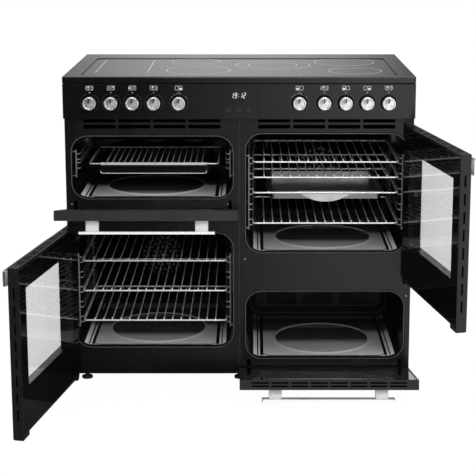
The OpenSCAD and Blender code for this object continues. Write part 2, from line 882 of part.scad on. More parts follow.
module terminal_box() {
  y0 = rear_y - 46;
  x = terminal_x + terminal_w / 2;
  z = terminal_z + 28;
  color("#232325") difference() {
    union() {
      slab(terminal_x, terminal_x + terminal_w, y0, rear_y - 12, terminal_z, terminal_z + terminal_h);
      slab(terminal_x, terminal_x + 4, y0, rear_y, terminal_z, terminal_z + terminal_h);
      slab(terminal_x + terminal_w - 4, terminal_x + terminal_w, y0, rear_y, terminal_z, terminal_z + terminal_h);
      rod_y(x, rear_y - 13, z, 13, gland_d);
    }
    rod_y(x, rear_y - 26, z, 27, gland_bore);
  }
}

bracket_w = 120;
bolt_d = 8;
bolt_pitch = 80;

module stability_bracket() {
  leg = 44;
  color("#9a9ca0") difference() {
    union() {
      slab(-bracket_w / 2, bracket_w / 2, rear_y, rear_y + 3, 0, 86);
      slab(-bracket_w / 2, bracket_w / 2, rear_y + 3 - leg, rear_y + 3, 0, 3);
    }
    for (s = [-1, 1]) {
      rod_z(s * bolt_pitch / 2, rear_y + 3 - leg / 2, -cut, 3 + 2 * cut, bolt_d);
      rod_y(s * bolt_pitch / 2, rear_y - cut, 66, 3 + 2 * cut, 5);
    }
  }
}

// ---------- doors, drawn closed and then swung open ----------

module swing_side() {
  px = -body_w / 2 + side_gap + hinge_edge;
  py = front_y + hinge_depth;
  translate([px, py, 0]) rotate([0, 0, -side_open]) translate([-px, -py, 0]) children();
}

module swing_drop(z0) {
  py = front_y + hinge_depth;
  pz = z0 + drop_pivot;
  translate([0, py, pz]) rotate([drop_open, 0, 0]) translate([0, -py, -pz]) children();
}

module handle(x, z_top) {
  z = z_top - handle_drop;
  facing(x, z, front_y - handle_gap - handle_t, handle_t) rounded(handle_l, handle_h, 3);
  for (s = [-1, 1]) {
    facing(x + s * post_pitch / 2, z, front_y - handle_gap - 0.5, handle_gap + 0.5) rounded(post_w, 16, 3);
  }
}

module outer_glass(x, z0, h) {
  facing(x, z0 + h / 2, front_y, door_glass_t) rounded(door_w, h, 3);
}

inner_glass_t = 4;
rim = 8;
inner_r = 4;

// pane that fills a door's inner face between x0 and x1, z0 and z1; grow widens it for its recess
module inner_glass(x0, x1, z0, z1, grow = 0) {
  facing((x0 + x1) / 2, (z0 + z1) / 2, front_y + door_t - inner_glass_t - grow, inner_glass_t + 2 * grow)
    rounded(x1 - x0 + 2 * grow, z1 - z0 + 2 * grow, inner_r + grow);
}

// the pane of a side door and of a drop-down door
module side_inner_glass(z0, grow = 0) {
  x0 = -body_w / 2 + side_gap;
  inner_glass(x0 + pan_side + rim, x0 + door_w - rim, z0 + pan_inset + rim, z0 + tall_door_h - rim, grow);
}

module drop_inner_glass(x, z0, grow = 0) {
  low = z0 + drop_pivot + ear_r + rim;
  inner_glass(x - door_w / 2 + rim, x + door_w / 2 - rim, low, z0 + short_door_h - rim, grow);
}

module window_cut(x, zc, h) {
  facing(x, zc, front_y + door_glass_t - cut, door_t) rounded(window_w, h, 3);
}

// two rows of cooling slots in a door's upper edge
module top_slots(x, z_top) {
  count = 8;
  pitch = (door_w - 60) / count;
  for (row = [0, 1], i = [0:count - 1]) {
    xc = x + (i - (count - 1) / 2) * pitch;
    y = front_y + door_glass_t + 6.5 + row * 9;
    slab(xc - pitch / 2 + 4, xc + pitch / 2 - 4, y - 2.5, y + 2.5, z_top - 8, z_top + cut);
  }
}

// column of cooling slots in a side door's free edge
module edge_slots(x_free, z0, h) {
  count = 8;
  pitch = (h - 90) / count;
  y = front_y + door_glass_t + 11;
  for (i = [0:count - 1]) {
    zc = z0 + h / 2 + (i - (count - 1) / 2) * pitch;
    slab(x_free - 8, x_free + cut, y - 2.5, y + 2.5, zc - pitch / 2 + 8, zc + pitch / 2 - 8);
  }
}

// left side door's inner frame, closed
module side_door_frame(z0, mouth_z, mouth_h) {
  x0 = -body_w / 2 + side_gap;
  x1 = x0 + door_w;
  px = x0 + hinge_edge;
  py = front_y + hinge_depth;
  y0 = front_y + door_glass_t;
  y1 = front_y + door_t;
  top = z0 + tall_door_h;
  difference() {
    union() {
      slab(x0 + pan_side, x1, y0, y1, z0 + pan_inset, top);
      slab(x1 - 48, x1, y0, y1, z0, z0 + pan_inset + cut);
    }
    window_cut(-col_x, mouth_z + mouth_h / 2, tall_window_h);
    side_inner_glass(z0, play);
    translate([x0 + pan_side, y1, z0]) linear_extrude(tall_door_h + cut) rotate(45)
      square(back_bevel * sqrt(2), center = true);
    top_slots(-col_x, top);
    edge_slots(x1, z0, tall_door_h);
    rod_z(px, py, top - pin_grip - 1, pin_grip + 1 + cut, pin_d + 2 * fit);
    rod_z(px, py, z0 + pan_inset - cut, pin_grip + 1 + cut, pin_d + 2 * fit);
  }
}

// drop-down door's inner frame, closed
module drop_door_frame(x, z0, window_z) {
  x0 = x - door_w / 2;
  x1 = x + door_w / 2;
  py = front_y + hinge_depth;
  pz = z0 + drop_pivot;
  y0 = front_y + door_glass_t;
  y1 = front_y + door_t;
  top = z0 + short_door_h;
  notch = ear_w / 2 + 2;
  difference() {
    slab(x0, x1, y0, y1, z0 + pan_inset + 1, top);
    for (xe = [x0 + ear_inset, x1 - ear_inset]) {
      slab(xe - notch, xe + notch, y0 + 1, y1 + cut, z0, pz + ear_r + 1.5);
      rod_x(xe - ear_w / 2 - 8, py, pz, ear_w + 16, drop_pin_d + 2 * fit);
    }
    if (window_z > 0) {
      window_cut(x, window_z, short_window_h);
      drop_inner_glass(x, z0, play);
      top_slots(x, top);
    } else {
      facing(x, z0 + short_door_h / 2 + 8, y1 - 1.2, 1.2 + cut) rounded(window_w, short_door_h - 90, 16);
    }
  }
}

module grill_door_frame() {
  color("#1b1b1e") swing_drop(grill_z) drop_door_frame(-col_x, grill_z, 0);
}

module grill_door_glass() {
  color("#060608") swing_drop(grill_z) outer_glass(-col_x, grill_z, short_door_h);
}

module grill_door_handle() {
  color("#e4e5e6") swing_drop(grill_z) handle(-col_x, grill_z + short_door_h);
}

slow_window_z = slow_floor + slow_mouth_h / 2;

module slow_door_frame() {
  color("#1b1b1e") swing_drop(slow_z) drop_door_frame(col_x, slow_z, slow_window_z);
}

module slow_door_glasses() {
  color("#060608") swing_drop(slow_z) {
    outer_glass(col_x, slow_z, short_door_h);
    drop_inner_glass(col_x, slow_z);
  }
}

module slow_door_handle() {
  color("#e4e5e6") swing_drop(slow_z) handle(col_x, slow_z + short_door_h);
}

module main_door_frame() {
  color("#1b1b1e") swing_side() side_door_frame(main_z, main_floor, main_mouth_h);
}

module main_door_glasses() {
  color("#060608") swing_side() {
    outer_glass(-col_x, main_z, tall_door_h);
    side_inner_glass(main_z);
  }
}

module main_door_handle() {
  color("#e4e5e6") swing_side() handle(-col_x, main_z + tall_door_h);
}

module tall_door_frame() {
  color("#1b1b1e") right() swing_side() side_door_frame(tall_z, tall_floor, tall_mouth_h);
}

module tall_door_glasses() {
  color("#060608") right() swing_side() {
    outer_glass(-col_x, tall_z, tall_door_h);
    side_inner_glass(tall_z);
  }
}

module tall_door_handle() {
  color("#e4e5e6") right() swing_side() handle(-col_x, tall_z + tall_door_h);
}

// ---------- shelves, tin and grill pan ----------

// edge bars of a shelf or carrier
module shelf_edge(x, z) {
  wire_loop(x, rail_x, shelf_y, shelf_y + shelf_depth, z, 10, bar_d);
}

// wire shelf whose side bars lie on the rails at rail_z
module shelf(x, rail_z) {
  z = rail_z + shelf_rise;
  $fn = 32;
  color("#cfd1d3") {
    shelf_edge(x, z);
    for (i = [0:wire_count - 1]) {
      xw = x + (i - (wire_count - 1) / 2) * wire_pitch;
      rod_y(xw, shelf_y, z + 0.6, shelf_depth, wire_d);
    }
  }
}

function main_level(i) = main_floor + main_first + i * level_pitch;
function tall_level(i) = tall_floor + tall_first + i * level_pitch;

module main_shelf_low() { shelf(-col_x, main_level(0)); }
module main_shelf_middle() { shelf(-col_x, main_level(2)); }
module main_shelf_top() { shelf(-col_x, main_level(4)); }
module tall_shelf_low() { shelf(col_x, tall_level(0)); }
module tall_shelf_middle() { shelf(col_x, tall_level(3)); }
module tall_shelf_top() { shelf(col_x, tall_level(4)); }

tin_z = tall_level(2) + shelf_rise;
tin_y = shelf_y + 6;
tin_bar_x = tin_w / 2 - 5;

module tin_carrier() {
  color("#cfd1d3") {
    shelf_edge(col_x, tin_z);
    for (s = [-1, 1]) {
      rod_y(col_x + s * (tin_bar_x + 9), shelf_y, tin_z, shelf_depth, bar_d - 1);
    }
  }
}

// shallow tin hung by its rim, with a curved lip at the front
module roasting_tin() {
  rim = tin_z + (bar_d - 1) / 2 + play;
  wall = 1.5;
  yc = tin_y + tin_l / 2 + 4;
  lip_half = tin_w / 2 - 81;
  lip_drop = 31;
  lip_r = (lip_half * lip_half + lip_drop * lip_drop) / (2 * lip_drop);
  color("#b9bcbe") {
    difference() {
      union() {
        translate([col_x, yc, rim - tin_h]) linear_extrude(tin_h) rounded(tin_w - 2, tin_l, 14);
        translate([col_x, yc, rim]) linear_extrude(wall) rounded(tin_w + 14, tin_l + 8, 18);
      }
      translate([col_x, yc, rim - tin_h + wall]) linear_extrude(tin_h + 4) rounded(tin_w - 2 - 2 * wall, tin_l - 2 * wall, 12.5);
    }
    translate([col_x, yc - tin_l / 2 - 2, rim]) rotate([lip_tilt, 0, 0]) rotate([90, 0, 0]) linear_extrude(wall)
      intersection() {
        translate([0, lip_r - lip_drop]) circle(r = lip_r, $fn = 96);
        translate([-lip_half, -lip_drop]) square([2 * lip_half, lip_drop + wall]);
      }
  }
}

lip_tilt = -24;

// enamelled pan whose flanges lie on the lowest pair of rails
module grill_pan() {
  yc = pan_y + pan_l / 2;
  z = pan_rim_z;
  color("#202023") difference() {
    union() {
      translate([-col_x, yc, z]) linear_extrude(pan_t) rounded(2 * rail_x + 3, pan_l, 8);
      translate([-col_x, yc, z - pan_h]) linear_extrude(pan_h + pan_t) rounded(pan_w, pan_l - 10, 18);
    }
    translate([-col_x, yc, z - pan_h + pan_t]) linear_extrude(pan_h + 4)
      rounded(pan_w - 2 * pan_t, pan_l - 10 - 2 * pan_t, 16.5);
  }
  color("#202023") rod_x(-col_x - pan_w / 2 + 8, pan_y + 1.5, z + pan_t / 2, pan_w - 16, pan_roll_d);
}

// wire rack that stands in the pan, with a flat front bar and a loop at each side
module grill_rack() {
  y0 = pan_y + 12;
  len = pan_l - 24;
  half = (rack_wires - 1) / 2 * rack_pitch + 14;
  color("#d4d6d8") {
    slab(-col_x - half, -col_x + half, y0 - 2, y0 + 1.5, rack_z - 3.5, rack_z + 3.5);
    wire_loop(-col_x, rack_half, y0, y0 + len, rack_z, 10, bar_d - 1);
    for (i = [0:rack_wires - 1]) {
      rod_y(-col_x + (i - (rack_wires - 1) / 2) * rack_pitch, y0, rack_z + 0.4, len, wire_d);
    }
    for (s = [-1, 1]) {
      for (y = [y0 + 30, y0 + len - 30]) {
        rod_z(-col_x + s * rack_half, y, pan_rim_z + pan_t + play, rack_z - pan_rim_z - pan_t - play, wire_d);
      }
    }
  }
}

side_panels();
rear_panel();
base_tray();
levelling_feet();
centre_divider();
hob_frame();
hob_glass();
induction_coils();
control_fascia();
display_module();
rotary_switches();
front_frame_left();
front_frame_right();
grill_cavity();
main_cavity();
tall_cavity();
slow_cavity();
door_seals();
grill_side_racks();
oven_side_racks();
oven_lamps();
heating_elements();
fan_covers();
fan_motors();
terminal_box();
stability_bracket();
knob(1);  // knob_1
knob(2);  // knob_2
knob(3);  // knob_3
knob(4);  // knob_4
knob(5);  // knob_5
knob(6);  // knob_6
knob(7);  // knob_7
knob(8);  // knob_8
knob(9);  // knob_9
knob(10);  // knob_10
grill_door_frame();
grill_door_glass();
grill_door_handle();
main_door_frame();
main_door_glasses();
main_door_handle();
tall_door_frame();
tall_door_glasses();
tall_door_handle();
slow_door_frame();
slow_door_glasses();
slow_door_handle();
grill_pan();
grill_rack();
main_shelf_low();
main_shelf_middle();
main_shelf_top();
tall_shelf_low();
tall_shelf_middle();
tall_shelf_top();
tin_carrier();
roasting_tin();
main_fan_blades();
tall_fan_blades();
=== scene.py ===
import bpy, bmesh, math
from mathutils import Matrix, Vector


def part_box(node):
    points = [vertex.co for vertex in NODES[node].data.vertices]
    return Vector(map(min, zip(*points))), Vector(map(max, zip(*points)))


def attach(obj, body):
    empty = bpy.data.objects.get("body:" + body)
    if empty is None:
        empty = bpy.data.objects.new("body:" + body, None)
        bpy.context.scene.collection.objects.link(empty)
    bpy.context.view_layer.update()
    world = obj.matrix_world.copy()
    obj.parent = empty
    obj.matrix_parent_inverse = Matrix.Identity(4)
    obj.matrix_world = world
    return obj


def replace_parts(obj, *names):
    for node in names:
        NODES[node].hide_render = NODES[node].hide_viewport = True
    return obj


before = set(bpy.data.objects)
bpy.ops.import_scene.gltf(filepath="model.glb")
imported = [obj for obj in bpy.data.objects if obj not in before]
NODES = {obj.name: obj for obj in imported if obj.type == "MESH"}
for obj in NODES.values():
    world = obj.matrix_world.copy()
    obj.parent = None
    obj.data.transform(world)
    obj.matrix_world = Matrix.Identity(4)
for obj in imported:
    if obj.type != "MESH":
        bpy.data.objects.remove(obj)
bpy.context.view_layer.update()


def middle(lo, hi, axis):
    return (lo[axis] + hi[axis]) / 2


# ---------- sizes, in metres, in the frame of the CAD model ----------
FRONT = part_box("display_module")[0][1]      # y of the fascia's face and of the closed doors' outer panes
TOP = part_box("hob_glass")[1][2]             # z of the hob glass
BAY_X = 0.25                                # middle of the right bay; the left bay mirrors it
HINGE_Y = FRONT + 0.012                     # every door turns about an axis at this y
HINGE_X = -0.488                            # axis of the left side door; the right one mirrors it
GRILL_PIVOT, SLOW_PIVOT = 0.509, 0.030      # z of the drop-down doors' axes
SIDE_OPEN = math.radians(100.4)             # how far the doors stand open at rest
DROP_OPEN = math.radians(78.5)
KNOB_Z = 0.835
KNOB_X, KNOB_STEP, KNOB_BREAK = 0.1705, 0.0605, 0.010   # sixth knob, pitch, extra gap after the sixth
SYMBOL_Z, DOT_Z = 0.8775, 0.8645            # symbols and zero dots above the knobs
CLOCK_X, CLOCK_Z, KEYS_Z = -0.0195, 0.8560, 0.8150      # first digit, the clock's height, the touch keys'
PRINT_T = 0.00015                           # how far print stands proud of the fascia
ZONE_T = 0.00012                            # the same on the hob glass
PANE_T, PANE_GAP = 0.004, 0.024             # thickness of a door's panes, and from one front face to the other
INNER_WINDOW = 0.386                        # width of the clear part of each inner pane
SLOTS, TOP_PITCH, EDGE_PITCH = 8, 0.0545, 0.046875      # cooling slots in a row on a door's top and free edge
SLOT_ROWS = (0.0105, 0.0195)                # the two rows on top, behind the outer pane's face
SLOT_SINK, SLOT_FILL = 0.0015, 0.006        # dark fillings of the slots, painted shade: below the mouth, thickness
MOUTH_INSET = 0.022                         # a liner's flange is this much larger than its mouth

# oven liners: z of the floor, brightness of the painted light on its floor, and where that ends behind the front
# edge
CAVITIES = {
    "grill_cavity": (0.554, 0.80, 0.172),
    "main_cavity": (0.107, 0.70, 0.20),
    "tall_cavity": (0.394, 0.75, 0.218),
    "slow_cavity": (0.072, 0.75, 0.240),
}
FLOOR_RISE = 0.0075                         # height of the floor's pressings
FLOOR_DEPTH = 0.42                          # depth over which the floor's painted light fades
RING_Y, RING_R = 0.179, 0.155               # pressed ring: centre behind the liner's front edge, radius
PLATE_HALF = 0.1795                         # half the width of the floor's pressed plate
CORNER_HIGHLIGHTS = ((0.204, 0.0055), (0.192, 0.0028))       # painted highlights beside it: from the middle, half width
FRONT_HIGHLIGHT_AT, REAR_HIGHLIGHT_AT = (0.0165, 0.003), (0.385, 0.006)  # painted highlights across it: behind the front, half width
FRONT_GROOVE = 0.0125                       # no painted light lies nearer to the front edge
CEILING_DEPTH = 0.0125                      # a liner is dull from just below its ceiling, here, to its top
SHELVES = [f"{oven}_shelf_{level}" for oven in ("main", "tall") for level in ("low", "middle", "top")]


def knob_x(i):
    """Knobs 6 to 10 from left to right; knobs 1 to 5 mirror them."""
    if i <= 5:
        return -knob_x(11 - i)
    return KNOB_X + (KNOB_BREAK if i > 6 else 0) + (i - 6) * KNOB_STEP


# Each of these gives a function that maps (across, up, deep) to a point. The first two start from x, z and y on
# the closed door and turn with it to where it stands at rest.
def side_place(side, x, z, y):
    """On the left side door where side is -1, and on its mirror image, the right one, where it is 1."""
    c, s = math.cos(-SIDE_OPEN), math.sin(-SIDE_OPEN)

    def f(a, b, d):
        dx, dy = x + a - HINGE_X, y + d - HINGE_Y
        return ((HINGE_X + dx * c - dy * s) * -side, HINGE_Y + dx * s + dy * c, z + b)
    return f


def drop_place(x, z, y, pivot_z):
    c, s = math.cos(DROP_OPEN), math.sin(DROP_OPEN)

    def f(a, b, d):
        dy, dz = y + d - HINGE_Y, z + b - pivot_z
        return (x + a, HINGE_Y + dy * c - dz * s, pivot_z + dy * s + dz * c)
    return f


def on_wall(x, y, z):
    """On a face that looks forward; depth grows towards the front."""
    return lambda a, b, d: (x + a, y - d, z + b)


def on_top(x, y, z):
    """On a face that looks up; depth grows upwards."""
    return lambda a, b, d: (x + a, y + b, z + d)


DOORS = {
    "main_door": lambda x, z, y: side_place(-1, x, z, y),
    "tall_door": lambda x, z, y: side_place(1, x, z, y),
    "grill_door": lambda x, z, y: drop_place(x, z, y, GRILL_PIVOT),
    "slow_door": lambda x, z, y: drop_place(x, z, y, SLOW_PIVOT),
}


# ---------- materials ----------
class Nodes:
    """A node tree with helpers; unless they say otherwise, they give an output socket."""

    def __init__(self, tree):
        self.t = tree

    def node(self, kind, **kw):
        """Adds a node and gives the node."""
        n = self.t.nodes.new(kind)
        for k, v in kw.items():
            setattr(n, k, v)
        return n

    def link(self, a, b):
        self.t.links.new(a, b)

    def put(self, value, socket):
        """Sets an input to a number, or links it to an output."""
        if isinstance(value, (int, float)):
            socket.default_value = value
        else:
            self.link(value, socket)

    def math(self, op, a, b=0.0, c=0.0):
        n = self.node("ShaderNodeMath", operation=op)
        for k, v in enumerate((a, b, c)):
            self.put(v, n.inputs[k])
        return n.outputs[0]

    def add(self, a, b):
        return self.math("ADD", a, b)

    def sub(self, a, b):
        return self.math("SUBTRACT", a, b)

    def mul(self, first, *others):
        for v in others:
            first = self.math("MULTIPLY", first, v)
        return first

    def clamp(self, v, lo, hi):
        return self.math("MINIMUM", self.math("MAXIMUM", v, lo), hi)

    def radius(self, a, b):
        return self.math("SQRT", self.add(self.mul(a, a), self.mul(b, b)))

    def between(self, fac, a, b):
        return self.add(self.mul(a, self.sub(1.0, fac)), self.mul(b, fac))

    def axis(self, vector, name):
        n = self.node("ShaderNodeSeparateXYZ")
        self.link(vector, n.inputs[0])
        return n.outputs[name]

    def span(self, v, lo, hi, a=0.0, b=1.0, kind="LINEAR"):
        """Maps v from the range a to b to the range lo to hi."""
        n = self.node("ShaderNodeMapRange", interpolation_type=kind)
        for k, x in zip(("From Min", "From Max", "To Min", "To Max"), (a, b, lo, hi)):
            n.inputs[k].default_value = x
        self.link(v, n.inputs["Value"])
        return n.outputs[0]

    def smooth(self, v, a, b, lo, hi):
        """Goes softly from lo, where v is a, to hi, where it is b."""
        return self.span(v, lo, hi, a, b, "SMOOTHSTEP")

    def blend(self, fac, a, b, kind="MIX"):
        n = self.node("ShaderNodeMix", data_type="RGBA", blend_type=kind)
        self.put(fac, n.inputs[0])
        self.link(a, n.inputs[6])
        self.link(b, n.inputs[7])
        return n.outputs[2]

    def ramp(self, fac, stops):
        n = self.node("ShaderNodeValToRGB")
        e = n.color_ramp.elements
        while len(e) < len(stops):
            e.new(0.5)
        for s, (p, c) in zip(e, stops):
            s.position = p
            s.color = (*c, 1)
        self.link(fac, n.inputs[0])
        return n.outputs[0]


class Mat(Nodes):
    """A material of procedural nodes round one Principled shader; other values are named as its sockets are."""

    def __init__(self, name, color, rough, metal=0.0, **kw):
        self.m = bpy.data.materials.new(name)
        self.m.use_nodes = True
        super().__init__(self.m.node_tree)
        self.b = self.t.nodes["Principled BSDF"]
        self.b.inputs["Base Color"].default_value = (*color, 1)
        self.b.inputs["Roughness"].default_value = rough
        self.b.inputs["Metallic"].default_value = metal
        for k, v in kw.items():
            self.b.inputs[k.replace("_", " ")].default_value = v
        self.co = self.node("ShaderNodeTexCoord").outputs["Object"]

    def stretched(self, scale):
        n = self.node("ShaderNodeMapping")
        n.inputs["Scale"].default_value = scale
        self.link(self.co, n.inputs["Vector"])
        return n.outputs[0]

    def along(self, v, scale):
        """Coordinates that vary with v only."""
        n = self.node("ShaderNodeCombineXYZ")
        self.link(self.mul(v, scale), n.inputs[0])
        return n.outputs[0]

    def noise(self, scale, detail=3.0, rough=0.5, co=None):
        n = self.node("ShaderNodeTexNoise")
        n.inputs["Scale"].default_value = scale
        n.inputs["Detail"].default_value = detail
        n.inputs["Roughness"].default_value = rough
        self.link(co or self.co, n.inputs["Vector"])
        return n.outputs[0]

    def voronoi(self, scale, output="Distance"):
        n = self.node("ShaderNodeTexVoronoi")
        n.inputs["Scale"].default_value = scale
        self.link(self.co, n.inputs["Vector"])
        return n.outputs[output]

    # the next four finish an input of the shader
    def paint(self, socket, name="Base Color"):
        self.link(socket, self.b.inputs[name])
        return self

    def color(self, fac, stops):
        return self.paint(self.ramp(fac, stops))

    def rough(self, fac, lo, hi, a=0.3, b=0.7):
        return self.paint(self.span(fac, lo, hi, a, b), "Roughness")

    def bump(self, fac, strength, distance, bevel=0.0):
        """Bevel is the radius at which edges look rounded, as enamel and rolled metal are."""
        n = self.node("ShaderNodeBump")
        n.inputs["Strength"].default_value = strength
        n.inputs["Distance"].default_value = distance
        self.link(fac, n.inputs["Height"])
        if bevel:
            v = self.node("ShaderNodeBevel", samples=4)
            v.inputs["Radius"].default_value = bevel
            self.link(v.outputs[0], n.inputs["Normal"])
        return self.paint(n.outputs[0], "Normal")


def grey(v):
    return (v, v, v * 1.02)


def tones(*stops):
    """Grey stops for a ramp."""
    return [(p, grey(v)) for p, v in stops]


def mottled(name, color, rough, scale, lo, hi, detail=2, **kw):
    """A material whose colour wanders between lo and hi."""
    m = Mat(name, color, rough, **kw)
    return m.color(m.noise(scale, detail), [(0.3, lo), (0.7, hi)])


def enamel(name, base, rough, speck=0.0, bevel=0.0008, gloss=0.25, cloud=1.0):
    """Enamel or paint with a faint orange peel; speck is the tone of its light specks, cloud its unevenness."""
    m = Mat(name, grey(base), rough, Specular_IOR_Level=gloss)
    wide = m.noise(9, 3)
    m.rough(wide, rough * (1 - 0.2 * cloud), rough * (1 + 0.35 * cloud))
    if speck:
        m.color(m.voronoi(900), tones((0.0, base + speck), (0.16, base + speck * 0.3), (0.3, base)))
    else:
        m.color(wide, tones((0.3, base * 0.9), (0.7, base * 1.15)))
    return m.bump(m.noise(240, 2), 0.10, 0.0004, bevel)


def brushed(name, base, rough, scale, strength=0.06, bevel=0.0006, tone=0.06, metal=1.0):
    """Metal with fine lines along the axis of the smallest scale."""
    m = Mat(name, grey(base), rough, metal)
    line = m.noise(1.0, 4, 0.65, m.stretched(scale))
    m.color(line, tones((0.25, base - tone), (0.75, base + tone * 0.5)))
    m.rough(m.noise(14, 3), rough * 0.8, rough * 1.3)
    return m.bump(line, strength, 0.0003, bevel)


def oven_enamel(node, floor, bright, step):
    """Dark speckled enamel of one liner; painted light and highlights lie on its floor as far as step; its ceiling
    and top are dull.
    """
    lo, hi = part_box(node)
    front = lo[1]
    m = Mat(node + "_enamel", grey(0.006), 0.2, Specular_IOR_Level=0.16)
    x, y, z = (m.axis(m.co, k) for k in "XYZ")
    up = m.axis(m.node("ShaderNodeNewGeometry").outputs["Normal"], "Z")
    on_floor = m.mul(m.math("GREATER_THAN", up, 0.55), m.math("LESS_THAN", z, floor + FLOOR_RISE))
    dx, dy = m.sub(x, middle(lo, hi, 0)), m.sub(y, front + RING_Y)
    side, r = m.math("ABSOLUTE", dx), m.radius(dx, dy)

    # painted light from front to back, bright at the front and fading into painted shade further in; the dish within
    # the ring takes the painted shade of a place 90 mm further back
    dish_shade = m.math("LESS_THAN", r, RING_R - 0.013)
    depth = m.add(m.sub(y, front), m.mul(dish_shade, 0.09))
    k = step / FLOOR_DEPTH
    near = m.ramp(m.math("DIVIDE", depth, FLOOR_DEPTH), tones(
        (0.0, 1.0), (k * 0.45, 0.72), (k - 0.05, 0.52), (k + 0.05, 0.05), (0.89, 0.02), (0.91, 0.12), (1.0, 0.12)))

    # the pressed plate ends in a dark groove, and the rounded corners beside it carry two painted highlights; more
    # painted highlights run across the plate at its front and rear
    plate = m.math("LESS_THAN", side, PLATE_HALF)
    corner_highlights = m.add(*(m.math("COMPARE", side, *band) for band in CORNER_HIGHLIGHTS))
    front_highlight, rear_highlight = (m.math("COMPARE", y, front + at, half) for at, half in (FRONT_HIGHLIGHT_AT, REAR_HIGHLIGHT_AT))
    rows = m.add(m.add(plate, m.mul(corner_highlights, 1.5)), front_highlight)
    rows = m.mul(rows, m.math("GREATER_THAN", y, front + FRONT_GROOVE))
    rows = m.math("MAXIMUM", rows, m.mul(rear_highlight, plate))
    # a painted highlight on the far slope of the pressed ring
    ring = m.mul(m.math("COMPARE", r, RING_R - 0.008, 0.006), m.span(dy, 0.0, 1.0, 0.0, 0.08))
    grain = m.span(m.noise(500, 3), 0.93, 1.07, 0.3, 0.7)
    painted_floor_light = m.math("MAXIMUM", m.mul(near, rows, grain, bright), m.mul(ring, 0.34))

    painted_floor_light = m.ramp(painted_floor_light, tones((0.0, 0.006), (1.0, 1.0)))
    speck = m.ramp(m.voronoi(700), tones((0.0, 0.045), (0.12, 0.014), (0.25, 0.005)))
    high = m.math("GREATER_THAN", z, hi[2] - CEILING_DEPTH)
    dull = m.ramp(m.noise(80, 4), tones((0.3, 0.002), (0.7, 0.004)))
    m.paint(m.blend(high, m.blend(on_floor, speck, painted_floor_light), dull))
    m.paint(m.math("MAXIMUM", m.span(m.noise(9, 3), 0.15, 0.28, 0.3, 0.7), high), "Roughness")
    return m.bump(m.noise(240, 2), 0.10, 0.0004, 0.0008)


def knob_metal(name, x, z):
    """Turned metal with painted reflections: its tone runs round the knob's axis at x and z, and a painted highlight
    lies on the rim.
    """
    m = Mat(name, grey(0.8), 0.24, 0.8)
    dx, dz = m.sub(m.axis(m.co, "X"), x), m.sub(m.axis(m.co, "Z"), z)
    turn = m.add(m.math("DIVIDE", m.math("ARCTAN2", dz, dx), 2 * math.pi), 0.5)
    # the tone round the axis is a painted reflection, lighter and darker by turns
    fan = m.ramp(turn, tones((0.0, 0.62), (0.10, 0.85), (0.22, 0.98), (0.36, 0.80), (0.50, 1.0),
                             (0.62, 0.95), (0.72, 0.50), (0.80, 0.34), (0.90, 0.42), (1.0, 0.62)))
    r = m.radius(dx, dz)
    # towards the rim the tone is painted lighter, a painted highlight
    rim = m.span(r, 0.0, 1.0, 0.0115, 0.0165)
    tone = m.blend(rim, fan, m.ramp(rim, tones((0.0, 0.9), (1.0, 1.0))))
    lines = m.span(m.noise(1.0, 2, 0.5, m.along(r, 1600.0)), 0.86, 1.06, 0.3, 0.7)
    m.paint(m.blend(1.0, tone, lines, "MULTIPLY"))
    m.rough(m.noise(60, 3), 0.18, 0.30)
    return m.bump(m.noise(900, 2), 0.05, 0.0002, 0.0005)


def handle_metal(name, p, q):
    """Polished bar on satin posts; the posts lie beyond point p in the direction of point q."""
    m = Mat(name, grey(0.97), 0.03, 1.0)
    n = (Vector(q) - Vector(p)).normalized()
    dot = m.node("ShaderNodeVectorMath", operation="DOT_PRODUCT")
    m.link(m.co, dot.inputs[0])
    dot.inputs[1].default_value = n
    post = m.math("GREATER_THAN", dot.outputs["Value"], n.dot(Vector(p)))
    bright = m.ramp(m.noise(14, 3), tones((0.3, 0.96), (0.7, 0.98)))
    satin = m.ramp(m.noise(200, 3), tones((0.3, 0.80), (0.7, 0.86)))
    m.paint(m.blend(post, bright, satin))
    m.paint(m.sub(1.0, post), "Metallic")
    m.paint(m.span(post, 0.03, 0.42), "Roughness")
    return m.bump(m.noise(1.0, 4, 0.65, m.stretched((6, 900, 900))), 0.001, 0.0003, 0.0005)


